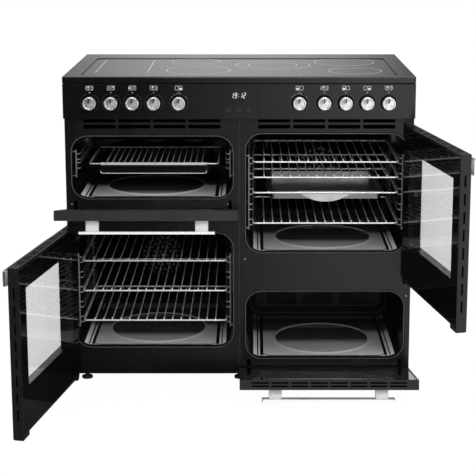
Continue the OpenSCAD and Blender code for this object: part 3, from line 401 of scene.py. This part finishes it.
MAT = {
    "fascia": enamel("fascia_black_enamel", 0.004, 0.11, gloss=0.47),
    "display": enamel("display_black_glass", 0.004, 0.10, gloss=0.47),
    "frame": enamel("front_frame_enamel", 0.005, 0.22, gloss=0.4),
    "side": enamel("side_panel_paint", 0.011, 0.40, cloud=0.12),
    "pan": enamel("door_pan_enamel", 0.009, 0.26, gloss=0.36),
    "cover": enamel("fan_cover_enamel", 0.0025, 0.5, 0.003, gloss=0.02),
    "cavity": enamel("grill_pan_enamel", 0.004, 0.20, 0.010, gloss=0.15),
    # the slow oven's back ridges are painted lighter, a painted highlight, and the field within them paler, painted
    # light
    "ridge": enamel("back_ridge_highlight_enamel", 0.05, 0.3, gloss=0.3),
    "field": enamel("back_field_light_enamel", 0.022, 0.3, gloss=0.2),
    "hobtop": enamel("hob_surround_enamel", 0.005, 0.10, bevel=0.0016, gloss=0.47),
    "chrome": brushed("bright_chrome", 0.96, 0.27, (300, 300, 300), 0.004, 0, 0.02, 0.35),
    "rack": brushed("rack_wire", 0.30, 0.34, (300, 300, 300), 0.004, 0, 0.03, 0.7),
    "tin": brushed("tin_sheet", 0.27, 0.34, (260, 40, 260), tone=0.03),
    "rotor": brushed("rotor_steel", 0.22, 0.38, (200, 200, 200), 0.08),
    "motor": brushed("motor_steel", 0.50, 0.36, (60, 400, 60), 0.10),
    "print": mottled("print_white", grey(0.80), 0.4, 300, grey(0.72), grey(0.86)),
    "print_grey": mottled("print_grey", grey(0.05), 0.35, 300, grey(0.04), grey(0.06)),
    "print_zone": mottled("print_zone", grey(0.60), 0.3, 300, grey(0.54), grey(0.66)),
    # black without gloss: painted shade in the door slots, under the hob's edge and round the knobs, and the dark
    # line round the hob glass
    "gap": mottled("black_for_painted_shade_and_lines", grey(0.002), 0.9, 200, grey(0.0015), grey(0.0025), Specular_IOR_Level=0.0),
    "pointer": mottled("pointer_black", grey(0.006), 0.5, 200, grey(0.004), grey(0.008), Specular_IOR_Level=0.1),
    "clear_glass": mottled("clear_glass", (0.95, 0.955, 0.955), 0.004, 20, (0.945, 0.95, 0.95),
                           (0.955, 0.96, 0.96), 3, Transmission_Weight=1.0, IOR=1.2),
}
for n, (floor, bright, step) in CAVITIES.items():
    MAT[n] = oven_enamel(n, floor, bright, step)
for i in range(1, 11):
    MAT[f"knob_{i}"] = knob_metal(f"knob_turned_metal_{i}", knob_x(i), KNOB_Z)
for n, place_at in DOORS.items():
    # the bar's back lies 30.2 mm in front of the closed door's pane
    MAT[n + "_handle"] = handle_metal(n + "_polished_bar", place_at(0, 0, FRONT - 0.0302)(0, 0, 0),
                                      place_at(0, 0, FRONT - 0.02)(0, 0, 0))

m = mottled("black_printed_glass", (0.004, 0.004, 0.0045), 0.035, 60, grey(0.0035), grey(0.006), 3)
MAT["black_glass"] = m.rough(m.noise(12, 4), 0.03, 0.07).bump(m.noise(18, 2), 0.03, 0.0003, 0.0005)

m = mottled("inner_printed_glass", (0.003, 0.003, 0.0035), 0.05, 60, grey(0.0025), grey(0.0045), 3,
            Specular_IOR_Level=0.17)
MAT["inner_glass"] = m.rough(m.noise(12, 4), 0.03, 0.05)

m = Mat("ceramic_glass", (0.006, 0.006, 0.007), 0.05)
m.color(m.voronoi(260), tones((0.0, 0.010), (0.35, 0.007), (0.6, 0.005)))
MAT["ceramic"] = m.rough(m.noise(7, 4), 0.045, 0.085).bump(m.noise(30, 2), 0.03, 0.0003)

m = Mat("galvanised_sheet", grey(0.48), 0.36, 0.9)
m.color(m.voronoi(55, "Color"), tones((0.1, 0.40), (0.5, 0.50), (0.9, 0.58)))
MAT["zinc"] = m.rough(m.voronoi(55), 0.28, 0.46, 0.0, 0.6).bump(m.noise(120, 3), 0.06, 0.0003, 0.0006)

m = Mat("copper_winding", (0.50, 0.24, 0.12), 0.32, 1.0)
w = m.node("ShaderNodeTexWave", wave_type="RINGS", rings_direction="Z")
w.inputs["Scale"].default_value = 90
m.link(m.co, w.inputs["Vector"])
m.color(w.outputs[0], [(0.1, (0.22, 0.09, 0.04)), (0.6, (0.55, 0.27, 0.14))])
MAT["copper"] = m.bump(w.outputs[0], 0.4, 0.0008)

m = mottled("cream_plastic", (0.66, 0.64, 0.56), 0.45, 40, (0.60, 0.58, 0.50), (0.70, 0.68, 0.60), 3)
MAT["cream"] = m.bump(m.noise(500, 2), 0.15, 0.0002, 0.0005)

m = mottled("black_plastic", grey(0.022), 0.5, 300, grey(0.017), grey(0.030))
MAT["plastic"] = m.rough(m.noise(90, 3), 0.42, 0.6).bump(m.noise(700, 2), 0.2, 0.0002, 0.0006)

m = mottled("seal_rubber", grey(0.003), 0.7, 150, grey(0.002), grey(0.004), 3, Specular_IOR_Level=0.05)
MAT["seal"] = m.bump(m.noise(900, 2), 0.25, 0.0003)

# grey of the seal lips: a painted highlight on the black seals
m = mottled("seal_lip_highlight", grey(0.09), 0.45, 150, grey(0.07), grey(0.11), 3)
MAT["lip"] = m.bump(m.noise(900, 2), 0.2, 0.0003)

m = Mat("element_oxide", (0.01, 0.009, 0.009), 0.5, Specular_IOR_Level=0.15)
m.color(m.noise(26, 4), [(0.3, (0.007, 0.007, 0.0065)), (0.6, (0.012, 0.011, 0.010)), (0.8, (0.022, 0.017, 0.015))])
MAT["element"] = m.rough(m.noise(60, 3), 0.4, 0.65).bump(m.noise(600, 3), 0.2, 0.0003)

m = Mat("lamp_glass", (0.80, 0.78, 0.70), 0.25, Transmission_Weight=0.35)
cells = m.voronoi(160)
MAT["lamp"] = m.color(cells, [(0.0, (0.70, 0.68, 0.60)), (0.5, (0.88, 0.86, 0.80))]).bump(cells, 0.4, 0.001)

MAT["digits"] = mottled("display_light", (0.85, 0.92, 1.0), 0.4, 200, (0.80, 0.86, 0.95), (0.92, 0.96, 1.0),
                        Emission_Strength=0.9, Emission_Color=(0.85, 0.93, 1.0, 1))

# nodes with a material of their own are in MAT by name, and those in neither table are chrome wire
FINISH = {
    "side": ["side_panels"],
    "zinc": ["rear_panel", "base_tray", "centre_divider", "stability_bracket"],
    "plastic": ["levelling_feet", "terminal_box"],
    "hobtop": ["hob_frame"],
    "ceramic": ["hob_glass"],
    "copper": ["induction_coils"],
    "fascia": ["control_fascia"],
    "display": ["display_module"],
    "cream": ["rotary_switches"],
    "frame": ["front_frame_left", "front_frame_right"],
    "seal": ["door_seals"],
    "rack": ["grill_side_racks", "oven_side_racks"],
    "lamp": ["oven_lamps"],
    "element": ["heating_elements"],
    "cover": ["fan_covers"],
    "motor": ["fan_motors"],
    "rotor": ["main_fan_blades", "tall_fan_blades"],
    "pan": [door + "_frame" for door in DOORS],
    "black_glass": ["grill_door_glass", "main_door_glasses", "tall_door_glasses", "slow_door_glasses"],
    "cavity": ["grill_pan"],
    "tin": ["roasting_tin"],
}
KEY_OF = {node: key for key, nodes in FINISH.items() for node in nodes}
for n, o in NODES.items():
    o.data.materials.clear()
    o.data.materials.append(MAT[n if n in MAT else KEY_OF.get(n, "chrome")].m)


# ---------- mesh helpers ----------
def rounded_loop(w, h, r, n=6):
    """Outline of a rectangle with rounded corners."""
    pts = []
    for k, (sx, sy) in enumerate(((1, 1), (-1, 1), (-1, -1), (1, -1))):
        for i in range(n + 1):
            a = math.pi / 2 * (k + i / n)
            pts.append((sx * (w / 2 - r) + r * math.cos(a), sy * (h / 2 - r) + r * math.sin(a)))
    return pts


def moved(pts, dx, dy):
    return [(a + dx, b + dy) for a, b in pts]


def disc(r, n=20, cx=0.0, cy=0.0):
    turns = [2 * math.pi * i / n for i in range(n)]
    return [(cx + r * math.cos(a), cy + r * math.sin(a)) for a in turns]


def arc(r0, r1, a0, a1, n=16):
    """Outline of a part of a ring, between radii r0 and r1 and between angles a0 and a1 in degrees."""
    turns = [math.radians(a0 + (a1 - a0) * i / n) for i in range(n + 1)]
    outer = [(r1 * math.cos(a), r1 * math.sin(a)) for a in turns]
    return outer + [(r0 * math.cos(a), r0 * math.sin(a)) for a in reversed(turns)]


class Builder:
    """Collects prisms and bars into one mesh."""

    def __init__(self):
        self.v, self.f = [], []

    def add(self, verts, faces):
        k = len(self.v)
        self.v += verts
        self.f += [tuple(i + k for i in f) for f in faces]
        return self

    def prism(self, outer, place, depth, inner=None):
        """Closed prism over a flat outline, with a hole where inner is given; place maps (a, b, d) to a point."""
        n = len(outer)
        verts = [place(a, b, d) for outline in (outer, inner) if outline for d in (0, depth) for a, b in outline]
        faces = []
        for i in range(n):
            j = (i + 1) % n
            faces.append((i, j, n + j, n + i))
            if inner:
                faces.append((2 * n + j, 2 * n + i, 3 * n + i, 3 * n + j))
                faces.append((j, i, 2 * n + i, 2 * n + j))
                faces.append((n + i, n + j, 3 * n + j, 3 * n + i))
        if not inner:
            faces.append(tuple(reversed(range(n))))
            faces.append(tuple(range(n, 2 * n)))
        return self.add(verts, faces)

    def bar(self, points, r, n=8):
        """Closed round bar along points; no stretch of it runs along y."""
        verts, faces = [], []
        last = len(points) - 1
        for k, p in enumerate(points):
            t = (Vector(points[min(k + 1, last)]) - Vector(points[max(k - 1, 0)])).normalized()
            u = t.cross(Vector((0, 1, 0))).normalized()
            w = t.cross(u)
            for i in range(n):
                a = 2 * math.pi * i / n
                verts.append(tuple(Vector(p) + r * (math.cos(a) * u + math.sin(a) * w)))
        for k in range(last):
            for i in range(n):
                j = (i + 1) % n
                faces.append((k * n + i, k * n + j, (k + 1) * n + j, (k + 1) * n + i))
        faces.append(tuple(reversed(range(n))))
        faces.append(tuple(range(last * n, (last + 1) * n)))
        return self.add(verts, faces)

    def make(self, name, mat, body, slot):
        me = bpy.data.meshes.new(name)
        me.from_pydata(self.v, [], self.f)
        me.update()
        bm = bmesh.new()
        bm.from_mesh(me)
        bmesh.ops.recalc_face_normals(bm, faces=bm.faces)
        bm.to_mesh(me)
        bm.free()
        me.materials.append(MAT[mat].m)
        o = bpy.data.objects.new(name, me)
        bpy.context.scene.collection.objects.link(o)
        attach(o, body)
        return o


# ---------- door panes: printed black border with a clear window ----------
def panes(door, x, outer, window, inner):
    """Outer and inner pane of one door.

    outer and inner are (x, z, width, height). Both windows are centred on x, and window is (z, height, width in
    the outer pane).
    """
    win_z, win_h, win_w = window
    for kind, (xc, zc, w, h), y in (("outer", outer, FRONT), ("inner", inner, FRONT + PANE_GAP)):
        if kind == "outer":
            border_mat, corner, win_size = "black_glass", 0.003, (win_w, win_h - 0.0006)
        else:
            border_mat, corner, win_size = "inner_glass", 0.004, (INNER_WINDOW, win_h)
        place = DOORS[door](xc, zc, y)
        rim = rounded_loop(w, h, corner, 3)
        win = moved(rounded_loop(*win_size, 0.003, 3), x - xc, win_z - zc)
        border = Builder().prism(rim, place, PANE_T, win)
        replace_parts(border.make(f"{door}_pane_{kind}_border", border_mat, door, "door_glass"), door + "_glasses")
        clear = Builder().prism(win, place, PANE_T)
        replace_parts(clear.make(f"{door}_pane_{kind}_window", "clear_glass", door, "door_glass"), door + "_glasses")


panes("main_door", -BAY_X, (-0.25, 0.2435, 0.496, 0.465), (0.2775, 0.266, 0.288), (-0.2485, 0.249, 0.477, 0.438))
panes("tall_door", -BAY_X, (-0.25, 0.5375, 0.496, 0.465), (0.567, 0.266, 0.288), (-0.2485, 0.543, 0.477, 0.438))
panes("slow_door", BAY_X, (0.25, 0.151, 0.496, 0.280), (0.1725, 0.140, 0.372), (0.25, 0.163, 0.480, 0.240))


# ---------- painted shade in slots and joints, painted highlights on the seals, screws ---
def slot_painted_shade(door, x, z_top, edge_z=None):
    """Dark fillings below the mouths of a door's cooling slots, painted shade in their depths; edge_z is the middle
    of a side door's free edge.
    """
    b = Builder()
    top_slot = rounded_loop(0.0463, 0.0048, 0.0005, 1)
    edge_slot = rounded_loop(0.0048, 0.0307, 0.0005, 1)
    steps = [i - (SLOTS - 1) / 2 for i in range(SLOTS)]
    for row in SLOT_ROWS:
        at = DOORS[door](x, z_top - SLOT_SINK, FRONT + row)
        for step in steps:
            b.prism(moved(top_slot, step * TOP_PITCH, 0), lambda a, c, d: at(a, -d, c), SLOT_FILL)
    if edge_z:
        for step in steps:
            at = DOORS[door](-0.0020 - SLOT_SINK, edge_z + step * EDGE_PITCH, FRONT + 0.015)
            b.prism(edge_slot, lambda a, c, d: at(-d, c, a), SLOT_FILL)
    b.make(door + "_slot_painted_shade", "gap", door, "black_enamel")


slot_painted_shade("main_door", -BAY_X, 0.476, 0.2435)
slot_painted_shade("tall_door", -BAY_X, 0.770, 0.5375)
slot_painted_shade("slow_door", BAY_X, 0.291)

# light grey lip round the middle of each door seal, a painted highlight along the seal
lip_highlights = Builder()
seal_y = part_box("door_seals")[0][1]
for n in CAVITIES:
    lo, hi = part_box(n)
    w, h = hi[0] - lo[0] - MOUTH_INSET, hi[2] - lo[2] - MOUTH_INSET
    place = on_wall(middle(lo, hi, 0), seal_y + 0.0004, middle(lo, hi, 2))
    lip_highlights.prism(rounded_loop(w + 0.0074, h + 0.0074, 0.0487, 12), place, 0.0007,
               rounded_loop(w + 0.0034, h + 0.0034, 0.0467, 12))
lip_highlights.make("seal_lip_highlights", "lip", "cooker", "seal_rubber")

# dark line under the hob's edge, painted shade in the joint, and a dark line round its glass, which is wider at the
# rear
joint = Builder()
joint.prism(rounded_loop(0.9958, 0.5958, 0.004, 3), on_top(0, FRONT + 0.3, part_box("hob_frame")[0][2] + 0.0002),
            0.0026, rounded_loop(0.9946, 0.5946, 0.004, 3))
line_in = [(a * 0.994, b - 0.0125) for a, b in rounded_loop(0.9006, 0.4166, 0.022, 6)]
joint.prism(rounded_loop(0.9006, 0.4416, 0.018, 6), on_top(0, FRONT + 0.034 + 0.441 / 2, TOP - 0.0001),
            0.0002, line_in)
joint.make("hob_joint_depths", "gap", "cooker", "black_enamel")

# small screws in the front frames
screws = Builder()
for x, z in ((-0.484, 0.536), (-0.033, 0.536), (0.484, 0.3026), (0.488, 0.2602), (0.484, 0.372), (0.016, 0.372)):
    screws.prism(disc(0.0023), on_wall(x, FRONT + 0.031, z), 0.0008, disc(0.0009))
screws.make("frame_screws", "motor", "cooker", "black_enamel")


# ---------- print on the fascia ----------
def print_at(x, z):
    return on_wall(x, FRONT, z)


icons, marks, shade_rings = Builder(), Builder(), Builder()
ZONE_KNOBS = (1, 2, 3, 4, 7, 10)
ZONE_SPOTS = [(-0.0075, 0.0), (-0.0030, -0.0028), (-0.0030, 0.0028), (0.0018, 0.0), (0.0068, 0.0028),
              (0.0068, -0.0028)]
for i in range(1, 11):
    x = knob_x(i)
    if i in ZONE_KNOBS:
        # a hob with six zones, one of them filled
        place = print_at(x, SYMBOL_Z)
        icons.prism(rounded_loop(0.021, 0.012, 0.002, 3), place, PRINT_T, rounded_loop(0.0196, 0.0106, 0.0014, 3))
        for k, (a, b) in enumerate(ZONE_SPOTS):
            chosen = k == (i * 2) % 6
            r = 0.0021 if chosen else 0.0014
            icons.prism(disc(r, 20, a, b), place, PRINT_T, None if chosen else disc(r * 0.55, 20, a, b))
    else:
        # two ovens, one of them with its contents
        for k in (-1, 1):
            xk = x + k * 0.0056
            icons.prism(rounded_loop(0.0095, 0.012, 0.0012, 3), print_at(xk, SYMBOL_Z), PRINT_T,
                        rounded_loop(0.0080, 0.0105, 0.0008, 3))
            if (i + (k > 0)) % 2 == 0:
                icons.prism(rounded_loop(0.0062, 0.0048, 0.0008, 3), print_at(xk, 0.8752), PRINT_T)
    icons.prism(disc(0.0012, 12), print_at(x, DOT_Z), PRINT_T)
    place = print_at(x, KNOB_Z)
    # a dark ring of painted shade round each knob
    shade_rings.prism(disc(0.0229, 48), place, 0.00092, disc(0.0192, 48))
    for a0, a1 in ((102, 232), (-52, 62)):
        marks.prism(arc(0.0262, 0.0268, a0, a1), place, PRINT_T)
    if i in (5, 6):
        for a in range(40, 141, 20):
            icons.prism(arc(0.0252, 0.0272, a - 1.6, a + 1.6, 2), place, PRINT_T)
    for a in (60, 30, 0, -30, 150, 180, 210):
        marks.prism(arc(0.0250, 0.0272, a - 1.2, a + 1.2, 2), place, PRINT_T)
shade_rings.make("knob_shade_rings", "gap", "cooker", "black_enamel")
icons.make("fascia_symbols", "print", "cooker", "black_enamel")
marks.make("fascia_scales", "print_grey", "cooker", "black_enamel")

# the clock's digits
SEGMENTS = {"0": "abcdef", "1": "bc", "2": "abged", "9": "abcdfg"}


def segment(kind, w=0.0056, h=0.0140, t=0.0009):
    """Outline of one segment, a to g, of a digit that is w wide and h high; t is the segment's thickness."""
    gap, half = 0.00025, h / 2
    rows = {"a": (0, half), "g": (0, 0), "d": (0, -half)}
    if kind in rows:
        cx, cz = rows[kind]
        s = w / 2 - gap
        return [(cx - s, cz), (cx - s + t / 2, cz + t / 2), (cx + s - t / 2, cz + t / 2), (cx + s, cz),
                (cx + s - t / 2, cz - t / 2), (cx - s + t / 2, cz - t / 2)]
    cx = w / 2 if kind in "bc" else -w / 2
    cz = half / 2 if kind in "bf" else -half / 2
    s = half / 2 - gap
    return [(cx, cz + s), (cx + t / 2, cz + s - t / 2), (cx + t / 2, cz - s + t / 2), (cx, cz - s),
            (cx - t / 2, cz - s + t / 2), (cx - t / 2, cz + s - t / 2)]


digits = Builder()
x = CLOCK_X
for ch in "19:12":
    if ch == ":":
        for b in (-0.003, 0.003):
            digits.prism(disc(0.0007, 10), print_at(x - 0.0010, CLOCK_Z + b), PRINT_T)
        x += 0.0052
    else:
        for s in SEGMENTS[ch]:
            slanted = [(a + 0.16 * b, b) for a, b in segment(s)]
            digits.prism(slanted, print_at(x, CLOCK_Z), PRINT_T)
        x += 0.0098
digits.make("clock_digits", "digits", "cooker", "ceramic_glass")

# touch keys: minus, dot and three lines
keys = Builder()
minus, thin = rounded_loop(0.0052, 0.0010, 0.0004, 2), rounded_loop(0.0052, 0.0008, 0.0003, 2)
for x, signs in ((-0.030, [(minus, 0)]), (-0.001, [(disc(0.0018, 14), 0)]),
                 (0.0285, [(thin, b) for b in (-0.0018, 0, 0.0018)])):
    keys.prism(disc(0.0062, 28), print_at(x, KEYS_Z), PRINT_T, disc(0.0054, 28))
    for sign, b in signs:
        keys.prism(sign, print_at(x, KEYS_Z + b), PRINT_T)
keys.make("touch_keys", "print_grey", "cooker", "ceramic_glass")

# ---------- printed zones on the ceramic glass ----------
zones = Builder()
for x, y, d in ((-0.136, 0.392, 0.150), (-0.120, 0.157, 0.190), (0.099, 0.288, 0.226), (0.099, 0.288, 0.150),
                (0.319, 0.367, 0.185), (0.337, 0.140, 0.155)):
    zones.prism(disc(d / 2, 72), on_top(x, FRONT + y, TOP), ZONE_T, disc(d / 2 - 0.0022, 72))
for x in (-0.416, -0.266):
    zones.prism(rounded_loop(0.0022, 0.319, 0.001, 2), on_top(x, FRONT + 0.2575, TOP), ZONE_T)
zones.make("zone_print", "print_zone", "cooker", "ceramic_glass")

# ---------- rolled edges, pressed rings, wire ends, pointers ----------
# the tin's front lip is an arc in a tilted plane: half its width, its drop, the tilt, the sheet and the roll
LIP_HALF, LIP_DROP, LIP_TILT = 0.082, 0.031, math.radians(24)
LIP_T, ROLL_R = 0.0015, 0.0012
lo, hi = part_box("roasting_tin")
lip_r = (LIP_HALF ** 2 + LIP_DROP ** 2) / (2 * LIP_DROP)
lip_y = lo[1] + LIP_T * math.cos(LIP_TILT) + LIP_DROP * math.sin(LIP_TILT)
lip_z = hi[2] - LIP_T
lip = []
for i in range(33):
    u = LIP_HALF * (i / 16 - 1) * 0.985
    v = lip_r - LIP_DROP - math.sqrt(lip_r ** 2 - u * u) + ROLL_R
    lip.append((BAY_X + u, lip_y + v * math.sin(LIP_TILT) + 0.0002, lip_z + v * math.cos(LIP_TILT) + 0.0002))
Builder().bar(lip, ROLL_R).make("tin_lip_roll", "chrome", "tin_set", "tin")

# lower front edge of the grill pan, turned up at its ends
lo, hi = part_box("grill_pan")
xc, y, z = middle(lo, hi, 0), lo[1] + 0.0052, lo[2] + 0.0010
x0 = xc - 0.150
edge = [(x0 - 0.0045, y, z + 0.007), (x0 - 0.0035, y, z + 0.003), (x0 - 0.001, y, z + 0.0006), (x0 + 0.003, y, z)]
edge += [(2 * xc - a, b, c) for a, b, c in reversed(edge)]
Builder().bar(edge, 0.0011).make("grill_pan_edge", "chrome", "grill_pan_set", "cavity_enamel")

# pressed rings on the slow oven's back wall, painted lighter as highlights, and the field within them, painted paler
# as light on the back wall
lo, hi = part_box("slow_cavity")
xc, y, zc = middle(lo, hi, 0), hi[1] - 0.0015, middle(lo, hi, 2)
ridges = Builder()
for w, h, r, rise in ((0.446, 0.186, 0.040, 0.0), (0.400, 0.138, 0.022, 0.0005)):
    ridges.prism(rounded_loop(w, h, r, 10), on_wall(xc, y, zc + rise), 0.0018,
                 rounded_loop(w - 0.008, h - 0.008, r - 0.004, 10))
ridges.make("slow_back_ridges", "ridge", "cooker", "cavity_enamel")
field = Builder().prism(rounded_loop(0.391, 0.129, 0.018, 10), on_wall(xc, y, zc + 0.0005), 0.0008)
field.make("slow_back_lit_field", "field", "cooker", "cavity_enamel")

# bent wire ends that stand up over the front bar of each shelf
for n in SHELVES:
    lo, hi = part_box(n)
    y, z = lo[1] + 0.0018, hi[2] - 0.0008
    tips = Builder()
    for i in range(15):
        x = middle(lo, hi, 0) + (i - 7) * 0.0255
        tips.bar([(x, y, z - 0.001), (x, y, z + 0.0012), (x, y + 0.0004, z + 0.0042), (x, y + 0.0016, z + 0.0060)],
                 0.0015)
    tips.make(n + "_wire_tips", "chrome", n, "chrome")

# dark pointer line on each knob's face
for i in range(1, 11):
    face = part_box(f"knob_{i}")[0][1] + 0.0012
    pointer = Builder().prism(rounded_loop(0.0030, 0.0140, 0.001, 3),
                              on_wall(knob_x(i), face + 0.0005, KNOB_Z + 0.0100), 0.0007)
    pointer.make(f"knob_{i}_pointer", "pointer", f"knob_{i}", "black_plastic")


# ---------- floor, light and camera ----------
def stage_floor():
    """White paper; glossy surfaces see it dimmed near the cooker, more so on the left, and dark under it."""
    half = 14
    me = bpy.data.meshes.new("floor")
    me.from_pydata([(-half, -half, 0), (half, -half, 0), (half, half, 0), (-half, half, 0)], [], [(0, 1, 2, 3)])
    o = bpy.data.objects.new("floor", me)
    bpy.context.scene.collection.objects.link(o)
    m = Mat("floor_paper", (0.86, 0.86, 0.86), 0.9, Specular_IOR_Level=0.1)
    x, y = m.axis(m.co, "X"), m.axis(m.co, "Y")
    path = m.node("ShaderNodeLightPath").outputs
    far = m.smooth(y, -2.6, -4.6, 0.0, 1.0)
    wide = m.clamp(m.add(m.mul(x, 0.68), 0.57), 0.02, 1.3)
    side = m.clamp(m.add(m.mul(x, 1.05), 0.63), 0.0, 1.0)
    near = m.add(m.mul(side, side, 0.95), 0.05)
    under = m.mul(m.math("LESS_THAN", m.math("ABSOLUTE", m.sub(y, 0.27)), 0.5),
                  m.math("LESS_THAN", m.math("ABSOLUTE", x), 0.6))
    shown = m.mul(m.between(far, near, wide), m.sub(1.0, m.mul(under, 0.97)))
    glossy = m.math("MAXIMUM", m.sub(path["Is Glossy Ray"], path["Is Transmission Ray"]), 0.0)
    direct = m.math("MAXIMUM", path["Is Camera Ray"], path["Is Transmission Ray"])
    glow, mix = m.node("ShaderNodeEmission"), m.node("ShaderNodeMixShader")
    m.link(m.add(m.mul(direct, 1.03), m.mul(glossy, shown)), glow.inputs["Strength"])
    m.link(m.mul(m.math("MAXIMUM", direct, glossy), 0.95), mix.inputs[0])
    m.link(m.b.outputs[0], mix.inputs[1])
    m.link(glow.outputs[0], mix.inputs[2])
    m.link(mix.outputs[0], m.t.nodes["Material Output"].inputs[0])
    me.materials.append(m.m)


def studio_world():
    """White room. Glossy surfaces see it white near the horizon in front and overhead, and dark between them.

    Behind the cooker they see it dim below and white above.
    """
    world = bpy.data.worlds.new("studio")
    bpy.context.scene.world = world
    world.use_nodes = True
    w = Nodes(world.node_tree)
    direction = w.node("ShaderNodeTexCoord").outputs["Generated"]
    x, y, z = (w.axis(direction, k) for k in "XYZ")
    path = w.node("ShaderNodeLightPath").outputs
    band = w.mul(w.smooth(z, 0.17, 0.27, 1.0, 0.05), w.smooth(x, -0.8, 0.1, 0.3, 1.0),
                 w.smooth(z, 0.0, 0.035, 0.05, 1.0))
    front = w.math("MAXIMUM", band, w.smooth(z, 0.82, 0.96, 0.0, 1.0))
    hump = w.mul(w.math("POWER", w.add(x, 0.02), 2.0), 26.0)
    low = w.math("MAXIMUM", w.sub(0.64, hump), 0.16)
    rear = w.between(w.smooth(z, 0.25, 0.8, 0.0, 1.0), low, 1.0)
    gloss = w.between(w.smooth(y, -0.25, 0.25, 0.0, 1.0), front, rear)
    seen = w.math("MAXIMUM", path["Is Camera Ray"], path["Is Transmission Ray"])
    glossy = path["Is Glossy Ray"]
    soft = w.mul(w.sub(1.0, w.math("MAXIMUM", seen, glossy)), 0.55)
    background = w.t.nodes["Background"]
    background.inputs["Color"].default_value = (1, 1, 1, 1)
    w.link(w.add(w.math("MAXIMUM", seen, w.mul(glossy, gloss)), soft), background.inputs["Strength"])


def area(name, loc, target, size, power):
    light = bpy.data.lights.new(name, "AREA")
    light.shape = "RECTANGLE"
    light.size, light.size_y = size
    light.energy = power
    o = bpy.data.objects.new(name, light)
    o.location = loc
    o.rotation_euler = (Vector(target) - Vector(loc)).to_track_quat("-Z", "Y").to_euler()
    bpy.context.scene.collection.objects.link(o)


stage_floor()
studio_world()
area("key", (0.5, -3.7, 2.3), (0, 0.1, 0.4), (2.0, 0.9), 60)
area("fill", (2.6, -2.4, 1.7), (0.1, 0, 0.5), (1.4, 1.6), 22)
area("top", (0, 0.6, 3.0), (0, 0, 0.6), (2.6, 2.0), 40)

FRAME_PX, FOCAL_PX, SENSOR_MM = 476, 1376.1, 36
cam = bpy.data.cameras.new("camera")
cam.sensor_width = SENSOR_MM
cam.lens = FOCAL_PX / FRAME_PX * SENSOR_MM
cam.shift_x, cam.shift_y = -0.029, -0.12
cam.clip_end = 60
eye = bpy.data.objects.new("camera", cam)
eye.location = (0.03583, -3.92336, 1.38059)
eye.rotation_euler = (math.pi / 2 - 0.197, 0, 0)
bpy.context.scene.collection.objects.link(eye)
bpy.context.scene.camera = eye
bpy.context.scene.view_settings.view_transform = "Standard"
